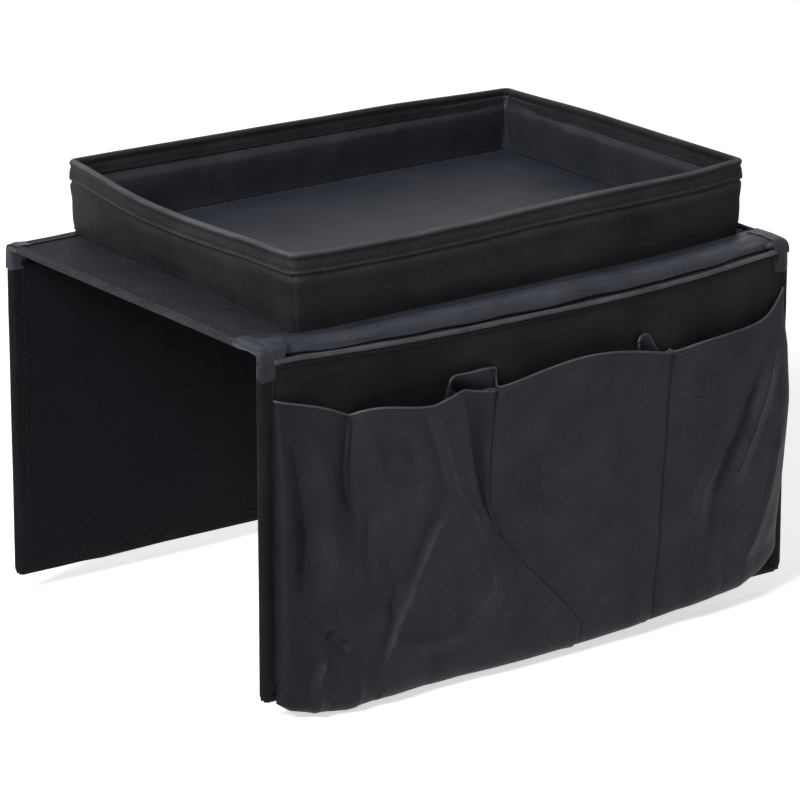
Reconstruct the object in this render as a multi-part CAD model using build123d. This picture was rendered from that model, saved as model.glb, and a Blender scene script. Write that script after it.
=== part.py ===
from build123d import *
import math
import os

# A tray that sits on a sofa arm: a stiff saddle carries an open tray, and a stiff flap
# hangs from each long side on a cloth fold. Both flaps have cloth pockets outside.
# X runs along the arm, Y across it towards the far flap, and Z up. The origin is the
# middle of the saddle's underside, where the product rests on the arm. Millimetres.

# Driving dimensions
tray_length = 305.0
tray_width = 219.0
tray_height = 41.0
left_shelf = 42.0
right_shelf = 13.0
near_shelf = 27.0
far_shelf = 3.0
flap_drop = 197.0

# Sheet goods
cloth = 0.8
board = 2.0
fit_gap = 0.3

# Edge bindings: each is a folded cloth strip that wraps the edge of a board and its
# cover; the lining stops at the binding's inner leg and lies flush with it
binding_nose = 1.6
binding_nose_radius = 1.5
flap_binding_leg = 8.5
bottom_binding_leg = 3.0
welt_leg = 2.4
left_end_leg = 8.5
right_end_leg = 9.0
flap_corner_radius = 5.0

# Tray walls and rim
tray_corner_radius = 4.0
lining_corner_radius = 2.0
rim_depth = 11.0
rim_roll = 1.8
rim_nose_radius = 2.3
rim_inner_tuck = 0.6

# Cloth folds between the saddle and the flaps
fold_thickness = 1.6
near_board_margin = 8.0
near_fold_drop = 11.0
near_fold_slope = 2.6
near_fold_radius = 5.5
far_fold_drop = 8.1
far_fold_inset = 6.0
far_fold_slope = 0.4
far_fold_radius = 2.6

# Near pockets: one cloth strip with pleats, sewn to the flap along three seams
near_seam_shares = (0.155, 0.43, 0.76)
seam_allowance = 3.0
pocket_edge_gap = 0.4
near_hem_left_depth = 30.0
near_hem_depth = 38.0
near_hem_right_depth = 28.0
hem_rise_run = 22.0
hem_bend_radius = 12.0
hem_droop_share = 0.35
near_bulge = 16.0
pleat_reach = 3.0
pleat_depth = 13.0
pleat_inner_share = 0.37
drawn_front = 12.0
drawn_inner = 8.0
fold_radius = 1.6
belly_radius = 5.0
pocket_side_run = 9.0
belly_rise = 7.0
near_pleated = (False, True, True, False)

# How full a pocket is, and how deep its pleat, from its mouth down to the sewn edge
shoulder_share = 0.9
front_share = 0.95
top_bulge_share = 0.95
top_pleat_share = 1.0
middle_height_share = 0.55
middle_pleat_share = 0.8
low_height_share = 0.2
low_pleat_share = 0.35
belly_bulge_share = 0.85
belly_pleat_share = 0.1
sewn_bulge_share = 0.16

# Far pockets: a plainer strip with one seam
far_seam_shares = (0.5,)
far_hem_depth = 46.0
far_hem_dip = 3.0
far_bulge = 7.0
far_pleated = (False, False)

# Room that a cutting tool has past the solid
overrun = 10.0

# Sizes and places that follow
stack = cloth + board + cloth
bound_stack = cloth + board
saddle_length = left_shelf + tray_length + right_shelf
saddle_width = near_shelf + tray_width + far_shelf
x_left = -saddle_length / 2
x_right = saddle_length / 2
y_near = -saddle_width / 2
y_far = saddle_width / 2
saddle_top = stack
flap_bottom = saddle_top - flap_drop
tray_left = x_left + left_shelf
tray_right = x_right - right_shelf
tray_near = y_near + near_shelf
tray_far = y_far - far_shelf
rim_top = saddle_top + tray_height
wall_top = rim_top - rim_roll
near_board_edge = tray_near - near_board_margin
far_board_edge = y_far - far_fold_inset
near_hinge_z = saddle_top - near_fold_drop
far_hinge_z = saddle_top - far_fold_drop


def slab(x0, x1, y0, y1, z0, z1):
    """A flat sheet between two opposite corners."""
    middle = Pos((x0 + x1) / 2, (y0 + y1) / 2, (z0 + z1) / 2)
    return middle * Box(x1 - x0, y1 - y0, z1 - z0)


def ring(inset, wall, radii, z0, z1):
    """A rectangular sleeve with rounded corners, set in from the tray's outer face."""
    length = tray_length - 2 * inset
    width = tray_width - 2 * inset
    outer = RectangleRounded(length, width, radii[0])
    inner = RectangleRounded(length - 2 * wall, width - 2 * wall, radii[1])
    middle = Pos((tray_left + tray_right) / 2, (tray_near + tray_far) / 2, z0)
    return middle * extrude(outer - inner, z1 - z0)


def edge_binding(length, leg):
    """A folded strip along X over a panel's upper edge, which lies at Z zero."""
    width = bound_stack + 2 * cloth
    block = Pos(0, 0, (binding_nose - leg) / 2) * Box(length, width, binding_nose + leg)
    crown = block.edges().filter_by(Axis.X).group_by(Axis.Z)[-1]
    block = fillet(crown, binding_nose_radius)
    slot = Pos(0, 0, -(leg + overrun) / 2) * Box(length + overrun, bound_stack, leg + overrun)
    return block - slot


def mitred(points, distance):
    """The corners of a line drawn at a steady distance to the left of another."""
    moved = []
    for i, (x, y) in enumerate(points):
        normals = []
        for a, b in ((i - 1, i), (i, i + 1)):
            if a >= 0 and b < len(points):
                dx = points[b][0] - points[a][0]
                dy = points[b][1] - points[a][1]
                size = math.hypot(dx, dy)
                normals.append((-dy / size, dx / size))
        first, last = normals[0], normals[-1]
        stretch = distance / (1 + first[0] * last[0] + first[1] * last[1])
        if len(normals) == 1:
            moved.append((x + distance * first[0], y + distance * first[1]))
        else:
            moved.append((x + stretch * (first[0] + last[0]), y + stretch * (first[1] + last[1])))
    return moved


def turn_sign(points, i):
    """1 where a line turns left at its corner i, and -1 where it turns right."""
    ax, ay = points[i][0] - points[i - 1][0], points[i][1] - points[i - 1][1]
    bx, by = points[i + 1][0] - points[i][0], points[i + 1][1] - points[i][1]
    return 1 if ax * by - ay * bx > 0 else -1


def ribbon(points, radii, thickness):
    """The face of a bent sheet seen on edge: lines joined by arcs about a middle line."""
    half = thickness / 2
    signs = [turn_sign(points, i) for i in range(1, len(points) - 1)]
    left_radii = [r - half * s for r, s in zip(radii, signs)]
    right_radii = [r + half * s for r, s in zip(radii, signs)]
    left = mitred(points, half)
    right = mitred(points, -half)
    left_line = FilletPolyline(*left, radius=left_radii)
    right_line = FilletPolyline(*right, radius=right_radii)
    ends = [Line(left[0], right[0]), Line(left[-1], right[-1])]
    return make_face([*left_line.edges(), *right_line.edges(), *ends])


def fold_strip(board_edge, side, slope, drop, radius):
    """The doubled cloth that bends from a long edge of the saddle down to a flap.

    The side is -1 for the near flap and 1 for the far one.
    """
    level = stack / 2
    wall_y = side * (saddle_width - stack) / 2
    start = (board_edge + side * fit_gap, level)
    corner = (wall_y, level - slope)
    foot = (wall_y, saddle_top - drop + fit_gap)
    face = ribbon([start, corner, foot], [radius], fold_thickness)
    upright = Plane(origin=(x_left, 0, 0), x_dir=(0, 1, 0), z_dir=(1, 0, 0))
    return extrude(upright * face, saddle_length)


def flap_outline(top):
    """A block with the flap's outline, lower corners rounded, to trim the bindings."""
    height = top - flap_bottom
    depth = saddle_width + overrun
    block = Pos(0, 0, top - height / 2) * Box(saddle_length, depth, height)
    lower = block.edges().filter_by(Axis.Y).group_by(Axis.Z)[0]
    return fillet(lower, flap_corner_radius)


def near_flap_panels(top):
    """The three sheets and four bindings of a flap on the near side, by name."""
    x0 = x_left + binding_nose
    x1 = x_right - binding_nose
    z0 = flap_bottom + binding_nose
    z1 = top - binding_nose
    y0 = y_near
    middle_y = y_near + bound_stack / 2
    middle_z = (top + flap_bottom) / 2
    side_reach = binding_nose + flap_binding_leg
    inner_length = saddle_length - 2 * side_reach
    lining_low = z0 + bottom_binding_leg
    lining_high = z1 - welt_leg
    outline = flap_outline(top)
    side = edge_binding(top - flap_bottom, flap_binding_leg)
    left = Pos(x0, middle_y, middle_z) * Rot(0, -90, 0) * side
    right = Pos(x1, middle_y, middle_z) * Rot(0, 90, 0) * side
    bottom = Pos(0, middle_y, z0) * Rot(180, 0, 0) * edge_binding(inner_length, bottom_binding_leg)
    return {
        "flap_cover": slab(x0, x1, y0, y0 + cloth, z0, z1),
        "flap_board": slab(x0, x1, y0 + cloth, y0 + bound_stack, z0, z1),
        "flap_lining": slab(
            x_left + side_reach, x_right - side_reach, y0 + bound_stack, y0 + stack, lining_low, lining_high
        ),
        "left_binding": left & outline,
        "right_binding": right & outline,
        "bottom_binding": bottom,
        "top_welt": Pos(0, middle_y, z1) * edge_binding(inner_length, welt_leg),
    }


def pocket_line(seams, bulge, pleat, pleated):
    """Corners and radii of a pocket strip in plan, as distances out from the flap.

    The strip lies flat on the flap at both ends and at every seam, and swells between
    them. A pleated pocket folds back under itself before its right seam; the fold is
    full where pleat is 1 and drawn out where it is 0.
    """
    flat = cloth / 2
    rest = flat + pocket_edge_gap
    stops = [x_left + binding_nose + flap_binding_leg + seam_allowance + fit_gap]
    stops += [x_left + share * saddle_length for share in seams]
    stops += [x_right - binding_nose - flap_binding_leg - seam_allowance - fit_gap]
    points = [(stops[0] - seam_allowance, flat), (stops[0], flat)]
    radii = [fold_radius]
    for i in range(len(stops) - 1):
        start = stops[i] + (seam_allowance if i else 0)
        last = i == len(stops) - 2
        end = stops[i + 1] - (0 if last else seam_allowance)
        middle = (start + end) / 2
        points += [(start + pocket_side_run, rest + bulge * shoulder_share), (middle, rest + bulge)]
        radii += [belly_radius, belly_radius]
        if pleated[i]:
            front = end + pleat * pleat_reach - (1 - pleat) * drawn_front
            inner = end - pleat * pleat_depth - (1 - pleat) * drawn_inner
            points += [(front, rest + bulge * front_share), (inner, rest + bulge * pleat_inner_share)]
            radii += [fold_radius, fold_radius]
        else:
            points += [(end - pocket_side_run, rest + bulge * shoulder_share)]
            radii += [belly_radius]
        points += [(end, flat)]
        radii += [fold_radius]
        if last:
            points += [(end + seam_allowance, flat)]
        else:
            points += [(end + 2 * seam_allowance, flat)]
            radii += [fold_radius]
    return points, radii


def pocket_section(height, line):
    """A pocket strip's face in plan at one height, in front of the near flap."""
    points, radii = line
    plan = [(x, y_near - out) for x, out in points]
    return Pos(0, 0, height) * ribbon(plan, radii, cloth)


def hem_trim(hem_points):
    """The space above a pocket strip's upper edge, which droops away from the flap."""
    curve = FilletPolyline(*hem_points, radius=hem_bend_radius)
    start, end = hem_points[0], hem_points[-1]
    lid = saddle_top + overrun
    sides = Polyline(start, (start[0], lid), (end[0], lid), end)
    face = make_face([*curve.edges(), *sides.edges()])
    upright = Plane(origin=(0, y_near + overrun, 0), x_dir=(1, 0, 0), z_dir=(0, -1, 0))
    reach = near_bulge + 3 * overrun
    lean = Vector(0, -1, -hem_droop_share)
    raised = Pos(0, 0, overrun * hem_droop_share) * (upright * face)
    return extrude(raised, reach, dir=lean)


def pocket_strip(seams, bulge, pleated, hem_depths):
    """A cloth strip of pockets, open above and sewn along the flap's lower edge."""
    left_depth, middle_depth, right_depth = hem_depths
    sewn = flap_bottom + binding_nose + bottom_binding_leg + fit_gap
    belly = sewn + belly_rise
    top = saddle_top - min(hem_depths) + overrun
    span = top - belly
    levels = (
        (top, top_bulge_share, top_pleat_share),
        (belly + middle_height_share * span, 1.0, middle_pleat_share),
        (belly + low_height_share * span, 1.0, low_pleat_share),
        (belly, belly_bulge_share, belly_pleat_share),
        (sewn, sewn_bulge_share, belly_pleat_share),
    )
    faces = []
    for height, fullness, pleat in levels:
        line = pocket_line(seams, bulge * fullness, pleat, pleated)
        faces.append(pocket_section(height, line))
    body = loft(faces[:-1])
    foot = loft(faces[-2:], ruled=True)
    inner_left = x_left + binding_nose + flap_binding_leg
    inner_right = x_right - binding_nose - flap_binding_leg
    hem = [
        (inner_left, saddle_top - left_depth),
        (inner_left + hem_rise_run, saddle_top - middle_depth),
        (inner_right - hem_rise_run, saddle_top - middle_depth),
        (inner_right, saddle_top - right_depth),
    ]
    return (body - hem_trim(hem)) + foot


def tray_wall_board(along_x, low_side):
    """A stiff board inside one tray wall, stopping short of the rounded corners."""
    z0, z1 = saddle_top, wall_top
    if along_x:
        x0, x1 = tray_left + tray_corner_radius, tray_right - tray_corner_radius
        y0 = tray_near + cloth if low_side else tray_far - cloth - board
        return slab(x0, x1, y0, y0 + board, z0, z1)
    y0, y1 = tray_near + tray_corner_radius, tray_far - tray_corner_radius
    x0 = tray_left + cloth if low_side else tray_right - cloth - board
    return slab(x0, x0 + board, y0, y1, z0, z1)


def tray_rim_binding():
    """The folded hem over the tray's walls, rounded along its upper edges."""
    low = rim_top - rim_depth
    inner_radius = lining_corner_radius - cloth
    hem_radii = (tray_corner_radius + cloth, inner_radius - rim_inner_tuck)
    block = ring(-cloth, stack + 2 * cloth, hem_radii, low, rim_top)
    crown = block.edges().group_by(Axis.Z)[-1]
    block = fillet(crown, rim_nose_radius)
    slot = ring(0, stack, (tray_corner_radius, inner_radius), low - overrun, wall_top)
    return block - slot


def tray_pieces():
    """The tray: a floor board, four wall boards, cloth inside and out, and a rim hem."""
    floor_top = saddle_top + board
    inset = stack + fit_gap
    floor = RectangleRounded(
        tray_length - 2 * inset, tray_width - 2 * inset, lining_corner_radius
    )
    middle = Pos((tray_left + tray_right) / 2, (tray_near + tray_far) / 2, 0)
    lining_inset = cloth + board
    outer_radii = (tray_corner_radius, tray_corner_radius - cloth)
    inner_radii = (lining_corner_radius, lining_corner_radius - cloth)
    return {
        "tray_floor_board": middle * Pos(0, 0, saddle_top) * extrude(floor, board),
        "tray_floor_lining": middle * Pos(0, 0, floor_top) * extrude(floor, cloth),
        "tray_near_wall_board": tray_wall_board(True, True),
        "tray_far_wall_board": tray_wall_board(True, False),
        "tray_left_wall_board": tray_wall_board(False, True),
        "tray_right_wall_board": tray_wall_board(False, False),
        "tray_outer_cover": ring(0, cloth, outer_radii, saddle_top, wall_top),
        "tray_inner_lining": ring(lining_inset, cloth, inner_radii, saddle_top, wall_top),
        "tray_rim_binding": tray_rim_binding(),
    }


def end_binding(leg, x_edge, outward):
    """The folded hem over one end of the saddle; outward is the sign of its side in X."""
    length = far_board_edge - near_board_edge
    middle_y = (far_board_edge + near_board_edge) / 2
    place = Pos(x_edge - outward * binding_nose, middle_y, stack - bound_stack / 2)
    return place * Rot(0, 90 * outward, 0) * Rot(0, 0, 90) * edge_binding(length, leg)


def saddle_pieces():
    """The stiff top that rests on the arm, with its cloth and the hems at both ends."""
    x0 = x_left + binding_nose
    x1 = x_right - binding_nose
    y0, y1 = near_board_edge, far_board_edge
    return {
        "saddle_lining": slab(x0 + left_end_leg, x1 - right_end_leg, y0, y1, 0, cloth),
        "saddle_board": slab(x0, x1, y0, y1, cloth, bound_stack),
        "saddle_cover": slab(x0, x1, y0, y1, bound_stack, stack),
        "saddle_left_binding": end_binding(left_end_leg, x_left, -1),
        "saddle_right_binding": end_binding(right_end_leg, x_right, 1),
        "near_fold_strip": fold_strip(
            near_board_edge, -1, near_fold_slope, near_fold_drop, near_fold_radius
        ),
        "far_fold_strip": fold_strip(
            far_board_edge, 1, far_fold_slope, far_fold_drop, far_fold_radius
        ),
    }


def flap_pieces():
    """Both flaps with their pocket strips; the far ones are made near and mirrored."""
    pieces = {}
    for name, piece in near_flap_panels(near_hinge_z).items():
        pieces["near_" + name] = piece
    for name, piece in near_flap_panels(far_hinge_z).items():
        pieces["far_" + name] = mirror(piece, Plane.XZ)
    near_hems = (near_hem_left_depth, near_hem_depth, near_hem_right_depth)
    near_strip = pocket_strip(near_seam_shares, near_bulge, near_pleated, near_hems)
    far_hems = (far_hem_depth, far_hem_depth + far_hem_dip, far_hem_depth)
    far_strip = pocket_strip(far_seam_shares, far_bulge, far_pleated, far_hems)
    pieces["near_pocket_strip"] = near_strip
    pieces["far_pocket_strip"] = mirror(far_strip, Plane.XZ)
    return pieces


def main():
    """Builds every piece and writes one file for each."""
    os.makedirs("parts", exist_ok=True)
    pieces = {**saddle_pieces(), **tray_pieces(), **flap_pieces()}
    for name, piece in pieces.items():
        export_step(piece, f"parts/{name}.step")
    print(len(pieces), "pieces")


if __name__ == "__main__":
    main()
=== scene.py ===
# %% [markdown]
# A sofa arm tray in black cloth. A stiff saddle lies over the arm and carries an open
# tray, and a stiff flap hangs on each side with cloth pockets on its outer face. The
# construction comes from the imported model: this lesson dresses it. Each cloth panel is
# made again as a thin sheet with its hems, creases and stitches, and rides on the body
# that the plain solid rode on, except the folds and corner tapes between the saddle and
# the flaps, which stay where they are drawn.

# %% Tools and the frame
import math

import bmesh
import bpy
from mathutils import Matrix, Vector, noise


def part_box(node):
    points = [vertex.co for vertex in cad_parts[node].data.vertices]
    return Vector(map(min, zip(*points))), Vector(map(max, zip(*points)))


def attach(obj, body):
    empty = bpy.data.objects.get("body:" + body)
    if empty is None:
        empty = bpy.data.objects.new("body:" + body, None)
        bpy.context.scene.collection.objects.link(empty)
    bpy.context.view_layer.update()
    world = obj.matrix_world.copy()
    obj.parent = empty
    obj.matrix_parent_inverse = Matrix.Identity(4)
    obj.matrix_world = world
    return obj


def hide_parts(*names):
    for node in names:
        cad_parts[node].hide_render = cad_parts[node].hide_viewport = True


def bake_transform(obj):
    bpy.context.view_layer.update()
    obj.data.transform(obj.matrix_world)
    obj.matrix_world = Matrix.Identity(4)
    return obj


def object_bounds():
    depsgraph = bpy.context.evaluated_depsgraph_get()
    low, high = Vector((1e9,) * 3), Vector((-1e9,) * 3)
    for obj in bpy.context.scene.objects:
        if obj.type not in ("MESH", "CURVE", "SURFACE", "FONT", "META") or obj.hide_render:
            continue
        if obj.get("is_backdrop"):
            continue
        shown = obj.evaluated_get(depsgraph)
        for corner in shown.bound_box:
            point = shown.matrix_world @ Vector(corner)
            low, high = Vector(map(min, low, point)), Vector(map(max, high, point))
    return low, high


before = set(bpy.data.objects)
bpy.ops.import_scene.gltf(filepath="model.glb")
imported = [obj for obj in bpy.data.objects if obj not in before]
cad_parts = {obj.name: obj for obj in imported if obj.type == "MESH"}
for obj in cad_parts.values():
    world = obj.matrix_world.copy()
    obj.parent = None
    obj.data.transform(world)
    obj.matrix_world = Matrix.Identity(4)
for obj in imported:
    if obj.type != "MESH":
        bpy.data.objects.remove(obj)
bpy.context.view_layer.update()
mm = 0.001
print("pieces in the frame:", len(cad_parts))

# %% [markdown]
# Every place is read from the solids, so the dressing fits without measuring twice.
# Depths are counted down from the saddle's top, and distances out from a flap's face,
# because that is how a maker would mark the cloth.

# %% Places read from the frame
saddle_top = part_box("saddle_cover")[1].z
x_left, x_right = (corner.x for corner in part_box("near_fold_strip"))
near_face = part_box("near_flap_cover")[0].y
far_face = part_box("far_flap_cover")[1].y
flap_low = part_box("near_bottom_binding")[0].z
board_near, board_far = (corner.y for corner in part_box("saddle_board"))
tray_low, tray_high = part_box("tray_outer_cover")
rim_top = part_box("tray_rim_binding")[1].z
floor_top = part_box("tray_floor_lining")[1].z
cloth = 0.8 * mm
thin_cloth = 0.6 * mm
stack = 3.6 * mm
ends = (("left", x_left, -1), ("right", x_right, 1))
binding_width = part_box("near_left_binding")[1].x - x_left
saddle_length = x_right - x_left
saddle_middle = (saddle_top + cloth) / 2
flap_depth = saddle_top - flap_low
edge_in = 1.3 * mm
board_inset = 2 * mm
print("saddle length in mm:", round(saddle_length / mm, 1))
print("flap depth in mm:", round(flap_depth / mm, 1))

# %% [markdown]
# A few small helpers serve the whole model. One draws a soft curve that a row of points
# pulls on, which is how cloth follows what holds it. One reads a value between the marks
# of a given table. The rest is cloth's own unevenness: slow noise for waves and
# quicker noise for crumples. Every piece has its own seed, the last number of such a
# call, so the noise differs from piece to piece and is the same on every run.

# %% Curves, tables and unevenness
def soft_line(points, share):
    """A point on the curve that a row of points pulls on; a doubled point pulls harder."""
    last = len(points) - 1
    at = min(max(share, 0.0), 1 - 1e-9) * (last + 2)
    first = int(at)
    t = at - first
    pulls = (
        (1 - t) ** 3 / 6,
        (3 * t ** 3 - 6 * t * t + 4) / 6,
        (-3 * t ** 3 + 3 * t * t + 3 * t + 1) / 6,
        t ** 3 / 6,
    )
    total = points[max(first - 2, 0)] * pulls[0]
    for step in range(1, 4):
        total = total + points[min(max(first - 2 + step, 0), last)] * pulls[step]
    return total


def ease(low, high, value):
    """0 below low, 1 above high, and a smooth step between."""
    t = min(max((value - low) / (high - low), 0.0), 1.0)
    return t * t * (3 - 2 * t)


def read_table(table, value):
    """The entries beside value in a table of rows, mixed in proportion."""
    if value <= table[0][0]:
        return table[0][1:]
    for before, after in zip(table, table[1:]):
        if value <= after[0]:
            t = (value - before[0]) / (after[0] - before[0])
            return tuple(a + (b - a) * t for a, b in zip(before[1:], after[1:]))
    return table[-1][1:]


def at_mm(rows):
    """Points of a flat section from rows of two distances in millimetres."""
    return [Vector((first * mm, second * mm)) for first, second in rows]


def part_way(low, high, share, inset=0.0):
    """The place at a share of the way from low to high, both moved in by an inset."""
    return low + inset + (high - low - 2 * inset) * share


def waves(across, down, length, seed):
    """Noise between -1 and 1 whose bumps are about as long as length."""
    return noise.noise(Vector((across / length + seed, down / length - seed, seed * 1.7)))


def crumple(across, down, seed):
    """Small uneven dents as in handled cloth, in metres."""
    slow = waves(across, down, 28 * mm, seed)
    quick = waves(across, down, 9 * mm, seed + 3)
    return (0.34 * slow + 0.13 * quick) * mm


# %% [markdown]
# A sheet of cloth starts as a flat grid, and each of its corners is carried to its
# place. The grid keeps a map of its own flat size, so the weave stays true to scale on
# every panel. The thickness comes from a Solidify modifier that grows inwards. Meshes of
# every kind enter the scene by the same helper.

# %% Cloth sheets
def add_object(name, data):
    """An object of the scene, left at the origin."""
    thing = bpy.data.objects.new(name, data)
    bpy.context.scene.collection.objects.link(thing)
    return thing


def add_mesh(name, bm):
    """An object made from a bmesh, which is used up."""
    mesh = bpy.data.meshes.new(name)
    bm.to_mesh(mesh)
    bm.free()
    return add_object(name, mesh)


def lay_weave(bm, marks, columns, rows):
    """Maps every corner to its distance along its row and its column of the cloth."""
    across = {}
    down = {}
    for row in range(rows + 1):
        across[0, row] = 0.0
        for column in range(columns):
            step = (marks[column + 1, row].co - marks[column, row].co).length
            across[column + 1, row] = across[column, row] + step
    for column in range(columns + 1):
        down[column, 0] = 0.0
        for row in range(rows):
            step = (marks[column, row + 1].co - marks[column, row].co).length
            down[column, row + 1] = down[column, row] + step
    place_of = {vert: key for key, vert in marks.items()}
    weave = bm.loops.layers.uv.new("weave")
    for face in bm.faces:
        for loop in face.loops:
            key = place_of[loop.vert]
            loop[weave].uv = (across[key], down[key])


def cloth_sheet(name, place, columns, rows, turned=False, closed=False, thickness=cloth):
    """A sheet of cloth; place gives the point for shares across and down the sheet."""
    bm = bmesh.new()
    bmesh.ops.create_grid(bm, x_segments=columns, y_segments=rows, size=0.5)
    marks = {}
    for vert in bm.verts:
        marks[round((vert.co.x + 0.5) * columns), round((vert.co.y + 0.5) * rows)] = vert
        vert.co = place(vert.co.x + 0.5, vert.co.y + 0.5)
    lay_weave(bm, marks, columns, rows)
    if closed:
        bmesh.ops.remove_doubles(bm, verts=bm.verts, dist=0.001 * mm)
    if turned:
        bmesh.ops.reverse_faces(bm, faces=bm.faces)
    for face in bm.faces:
        face.smooth = True
    sheet = add_mesh(name, bm)
    solidify = sheet.modifiers.new("thickness", "SOLIDIFY")
    solidify.thickness = thickness
    solidify.offset = -1
    return sheet


# %% [markdown]
# The cloth is black, but black cloth is never one colour. A plain weave makes a fine
# grid of threads, the light slides off the threads as a bluish sheen, and handling
# leaves slow patches that are a little warmer or paler. The weave is built from two
# sine waves on the sheet's own map, so each thread has its real width, and it drives
# both the colour between the threads and the bump.

# %% Cloth materials
def node_adder(tree):
    """A helper that adds a node to a tree; each link is a socket and its value or source."""

    def add(kind, links=(), **values):
        node = tree.nodes.new(kind)
        for key, value in values.items():
            setattr(node, key, value)
        for socket, source in links:
            if isinstance(source, (int, float, tuple)):
                node.inputs[socket].default_value = source
            else:
                tree.links.new(source, node.inputs[socket])
        return node

    return add


def new_material(name):
    """A material with its tree and shader, and the helper that adds nodes to it."""
    material = bpy.data.materials.new(name)
    material.use_nodes = True
    tree = material.node_tree
    return material, tree, tree.nodes["Principled BSDF"], node_adder(tree)


def cloth_material(
    name, colour, warm, thread, relief, roughness, sheen, specular, patch=0.3, grain=0.36, painted_bands=()
):
    """Woven cloth: thread is the spacing of the threads, relief the depth of the weave.

    A band is (axis of the sheet, distance along it, half the band's width, gain): a line
    of painted light (gain above 1) or painted shade (gain below 1).
    """
    material, tree, shader, add = new_material(name)

    def maths(operation, *values):
        """A math node's result; each value is a number or another node's socket."""
        return add("ShaderNodeMath", list(enumerate(values)), operation=operation).outputs[0]

    def clouds(place, scale, detail, rough):
        """Noise at a place of the material."""
        links = [("Vector", place), ("Scale", scale), ("Detail", detail), ("Roughness", rough)]
        return add("ShaderNodeTexNoise", links).outputs[0]

    def spread(value, low, high, new_low, new_high, curve="LINEAR"):
        """A value carried from one span to another."""
        links = enumerate((value, low, high, new_low, new_high))
        return add("ShaderNodeMapRange", list(links), interpolation_type=curve).outputs[0]

    flat = add("ShaderNodeUVMap", uv_map="weave").outputs[0]
    axes = add("ShaderNodeSeparateXYZ", [(0, flat)])
    ripples = [
        maths("SINE", maths("MULTIPLY", axes.outputs[axis], math.pi / thread)) for axis in ("X", "Y")
    ]
    weave = maths("ABSOLUTE", maths("MULTIPLY", *ripples))
    slubs = clouds(flat, 0.42 / thread, 2.5, 0.65)
    threads = maths("MULTIPLY_ADD", weave, slubs, slubs)
    patches = clouds(flat, 26.0, 5.0, 0.62)
    hue = add("ShaderNodeMix", [(6, colour), (7, warm), (0, patches)], data_type="RGBA")
    lift = spread(patches, 0.3, 0.7, 1 - patch, 1 + patch)
    tone = spread(threads, 0.25, 1.1, 1 - grain, 1 + grain * 0.9)
    shade = maths("MULTIPLY", lift, tone)
    for axis, middle, half, gain in painted_bands:
        away = maths("ABSOLUTE", maths("SUBTRACT", axes.outputs[axis], middle))
        shade = maths("MULTIPLY", shade, spread(away, 0.35 * half, half, gain, 1.0, "SMOOTHSTEP"))
    dyed = add("ShaderNodeVectorMath", [(0, hue.outputs[2]), ("Scale", shade)], operation="SCALE")
    bump = add("ShaderNodeBump", [("Strength", 0.8), ("Distance", relief), ("Height", threads)])
    tree.links.new(dyed.outputs[0], shader.inputs["Base Color"])
    tree.links.new(spread(threads, 0.2, 1.1, roughness + 0.08, roughness - 0.06), shader.inputs["Roughness"])
    tree.links.new(bump.outputs[0], shader.inputs["Normal"])
    shader.inputs["Specular IOR Level"].default_value = specular
    shader.inputs["Sheen Weight"].default_value = sheen
    shader.inputs["Sheen Roughness"].default_value = 0.45
    shader.inputs["Sheen Tint"].default_value = (0.62, 0.72, 1.0, 1.0)
    return material


shelf_black = cloth_material(
    "coarse black shelf cloth", (0.0100, 0.0112, 0.0145, 1), (0.0145, 0.0130, 0.0135, 1),
    thread=1.1 * mm, relief=0.32 * mm, roughness=0.68, sheen=0.02, specular=0.08, patch=0.45, grain=0.55,
)
# The band paints a highlight on the wall cloth about 32 millimetres above its foot, just under the rim hem.
cover_black = cloth_material(
    "black wall cloth with a painted highlight", (0.0098, 0.0108, 0.0140, 1), (0.0165, 0.0132, 0.0128, 1),
    thread=0.9 * mm, relief=0.16 * mm, roughness=0.62, sheen=0.02, specular=0.08, patch=0.42,
    painted_bands=(("Y", 31.8 * mm, 4.4 * mm, 1.4),),
)
# The band paints shade over the left part of each flap's outer cloth, about its first 140 millimetres.
flap_black = cloth_material(
    "dark flap cloth with painted shade", (0.0070, 0.0082, 0.0112, 1), (0.0118, 0.0100, 0.0100, 1),
    thread=0.9 * mm, relief=0.14 * mm, roughness=0.62, sheen=0.02, specular=0.07, patch=0.42,
    painted_bands=(("X", 68.0 * mm, 70.0 * mm, 0.55),),
)
lining_black = cloth_material(
    "dark flap lining", (0.0052, 0.0063, 0.0088, 1), (0.0064, 0.0064, 0.0076, 1),
    thread=0.8 * mm, relief=0.08 * mm, roughness=0.60, sheen=0.01, specular=0.06, patch=0.15,
)
satin_black = cloth_material(
    "blue-black satin lining", (0.0148, 0.0182, 0.0262, 1), (0.0190, 0.0195, 0.0225, 1),
    thread=0.6 * mm, relief=0.06 * mm, roughness=0.44, sheen=0.03, specular=0.16, patch=0.28,
)
floor_satin = cloth_material(
    "tray floor satin", (0.0120, 0.0153, 0.0222, 1), (0.0158, 0.0163, 0.0186, 1),
    thread=0.6 * mm, relief=0.08 * mm, roughness=0.46, sheen=0.025, specular=0.14, patch=0.3,
)
# Paler than the other satin, a painted highlight on the top of the near fold; the first band paints the tray
# wall's shadow at the fold's foot, the second the shade where it turns down to the flap.
limp_satin = cloth_material(
    "limp fold satin with painted light and shade", (0.0300, 0.0365, 0.0515, 1), (0.0370, 0.0382, 0.0455, 1),
    thread=0.6 * mm, relief=0.08 * mm, roughness=0.42, sheen=0.03, specular=0.18, patch=0.5,
    painted_bands=(("Y", 3.5 * mm, 8.5 * mm, 0.42), ("Y", 29.0 * mm, 14.0 * mm, 0.42)),
)
# The band paints shade along the corner tapes about 40 millimetres from their start, where they run down
# beside the flaps.
fold_satin = cloth_material(
    "limp fold satin", (0.0240, 0.0295, 0.0420, 1), (0.0300, 0.0310, 0.0370, 1),
    thread=0.6 * mm, relief=0.08 * mm, roughness=0.42, sheen=0.03, specular=0.18, patch=0.4,
    painted_bands=(("X", 40.0 * mm, 20.0 * mm, 0.28),),
)
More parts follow.
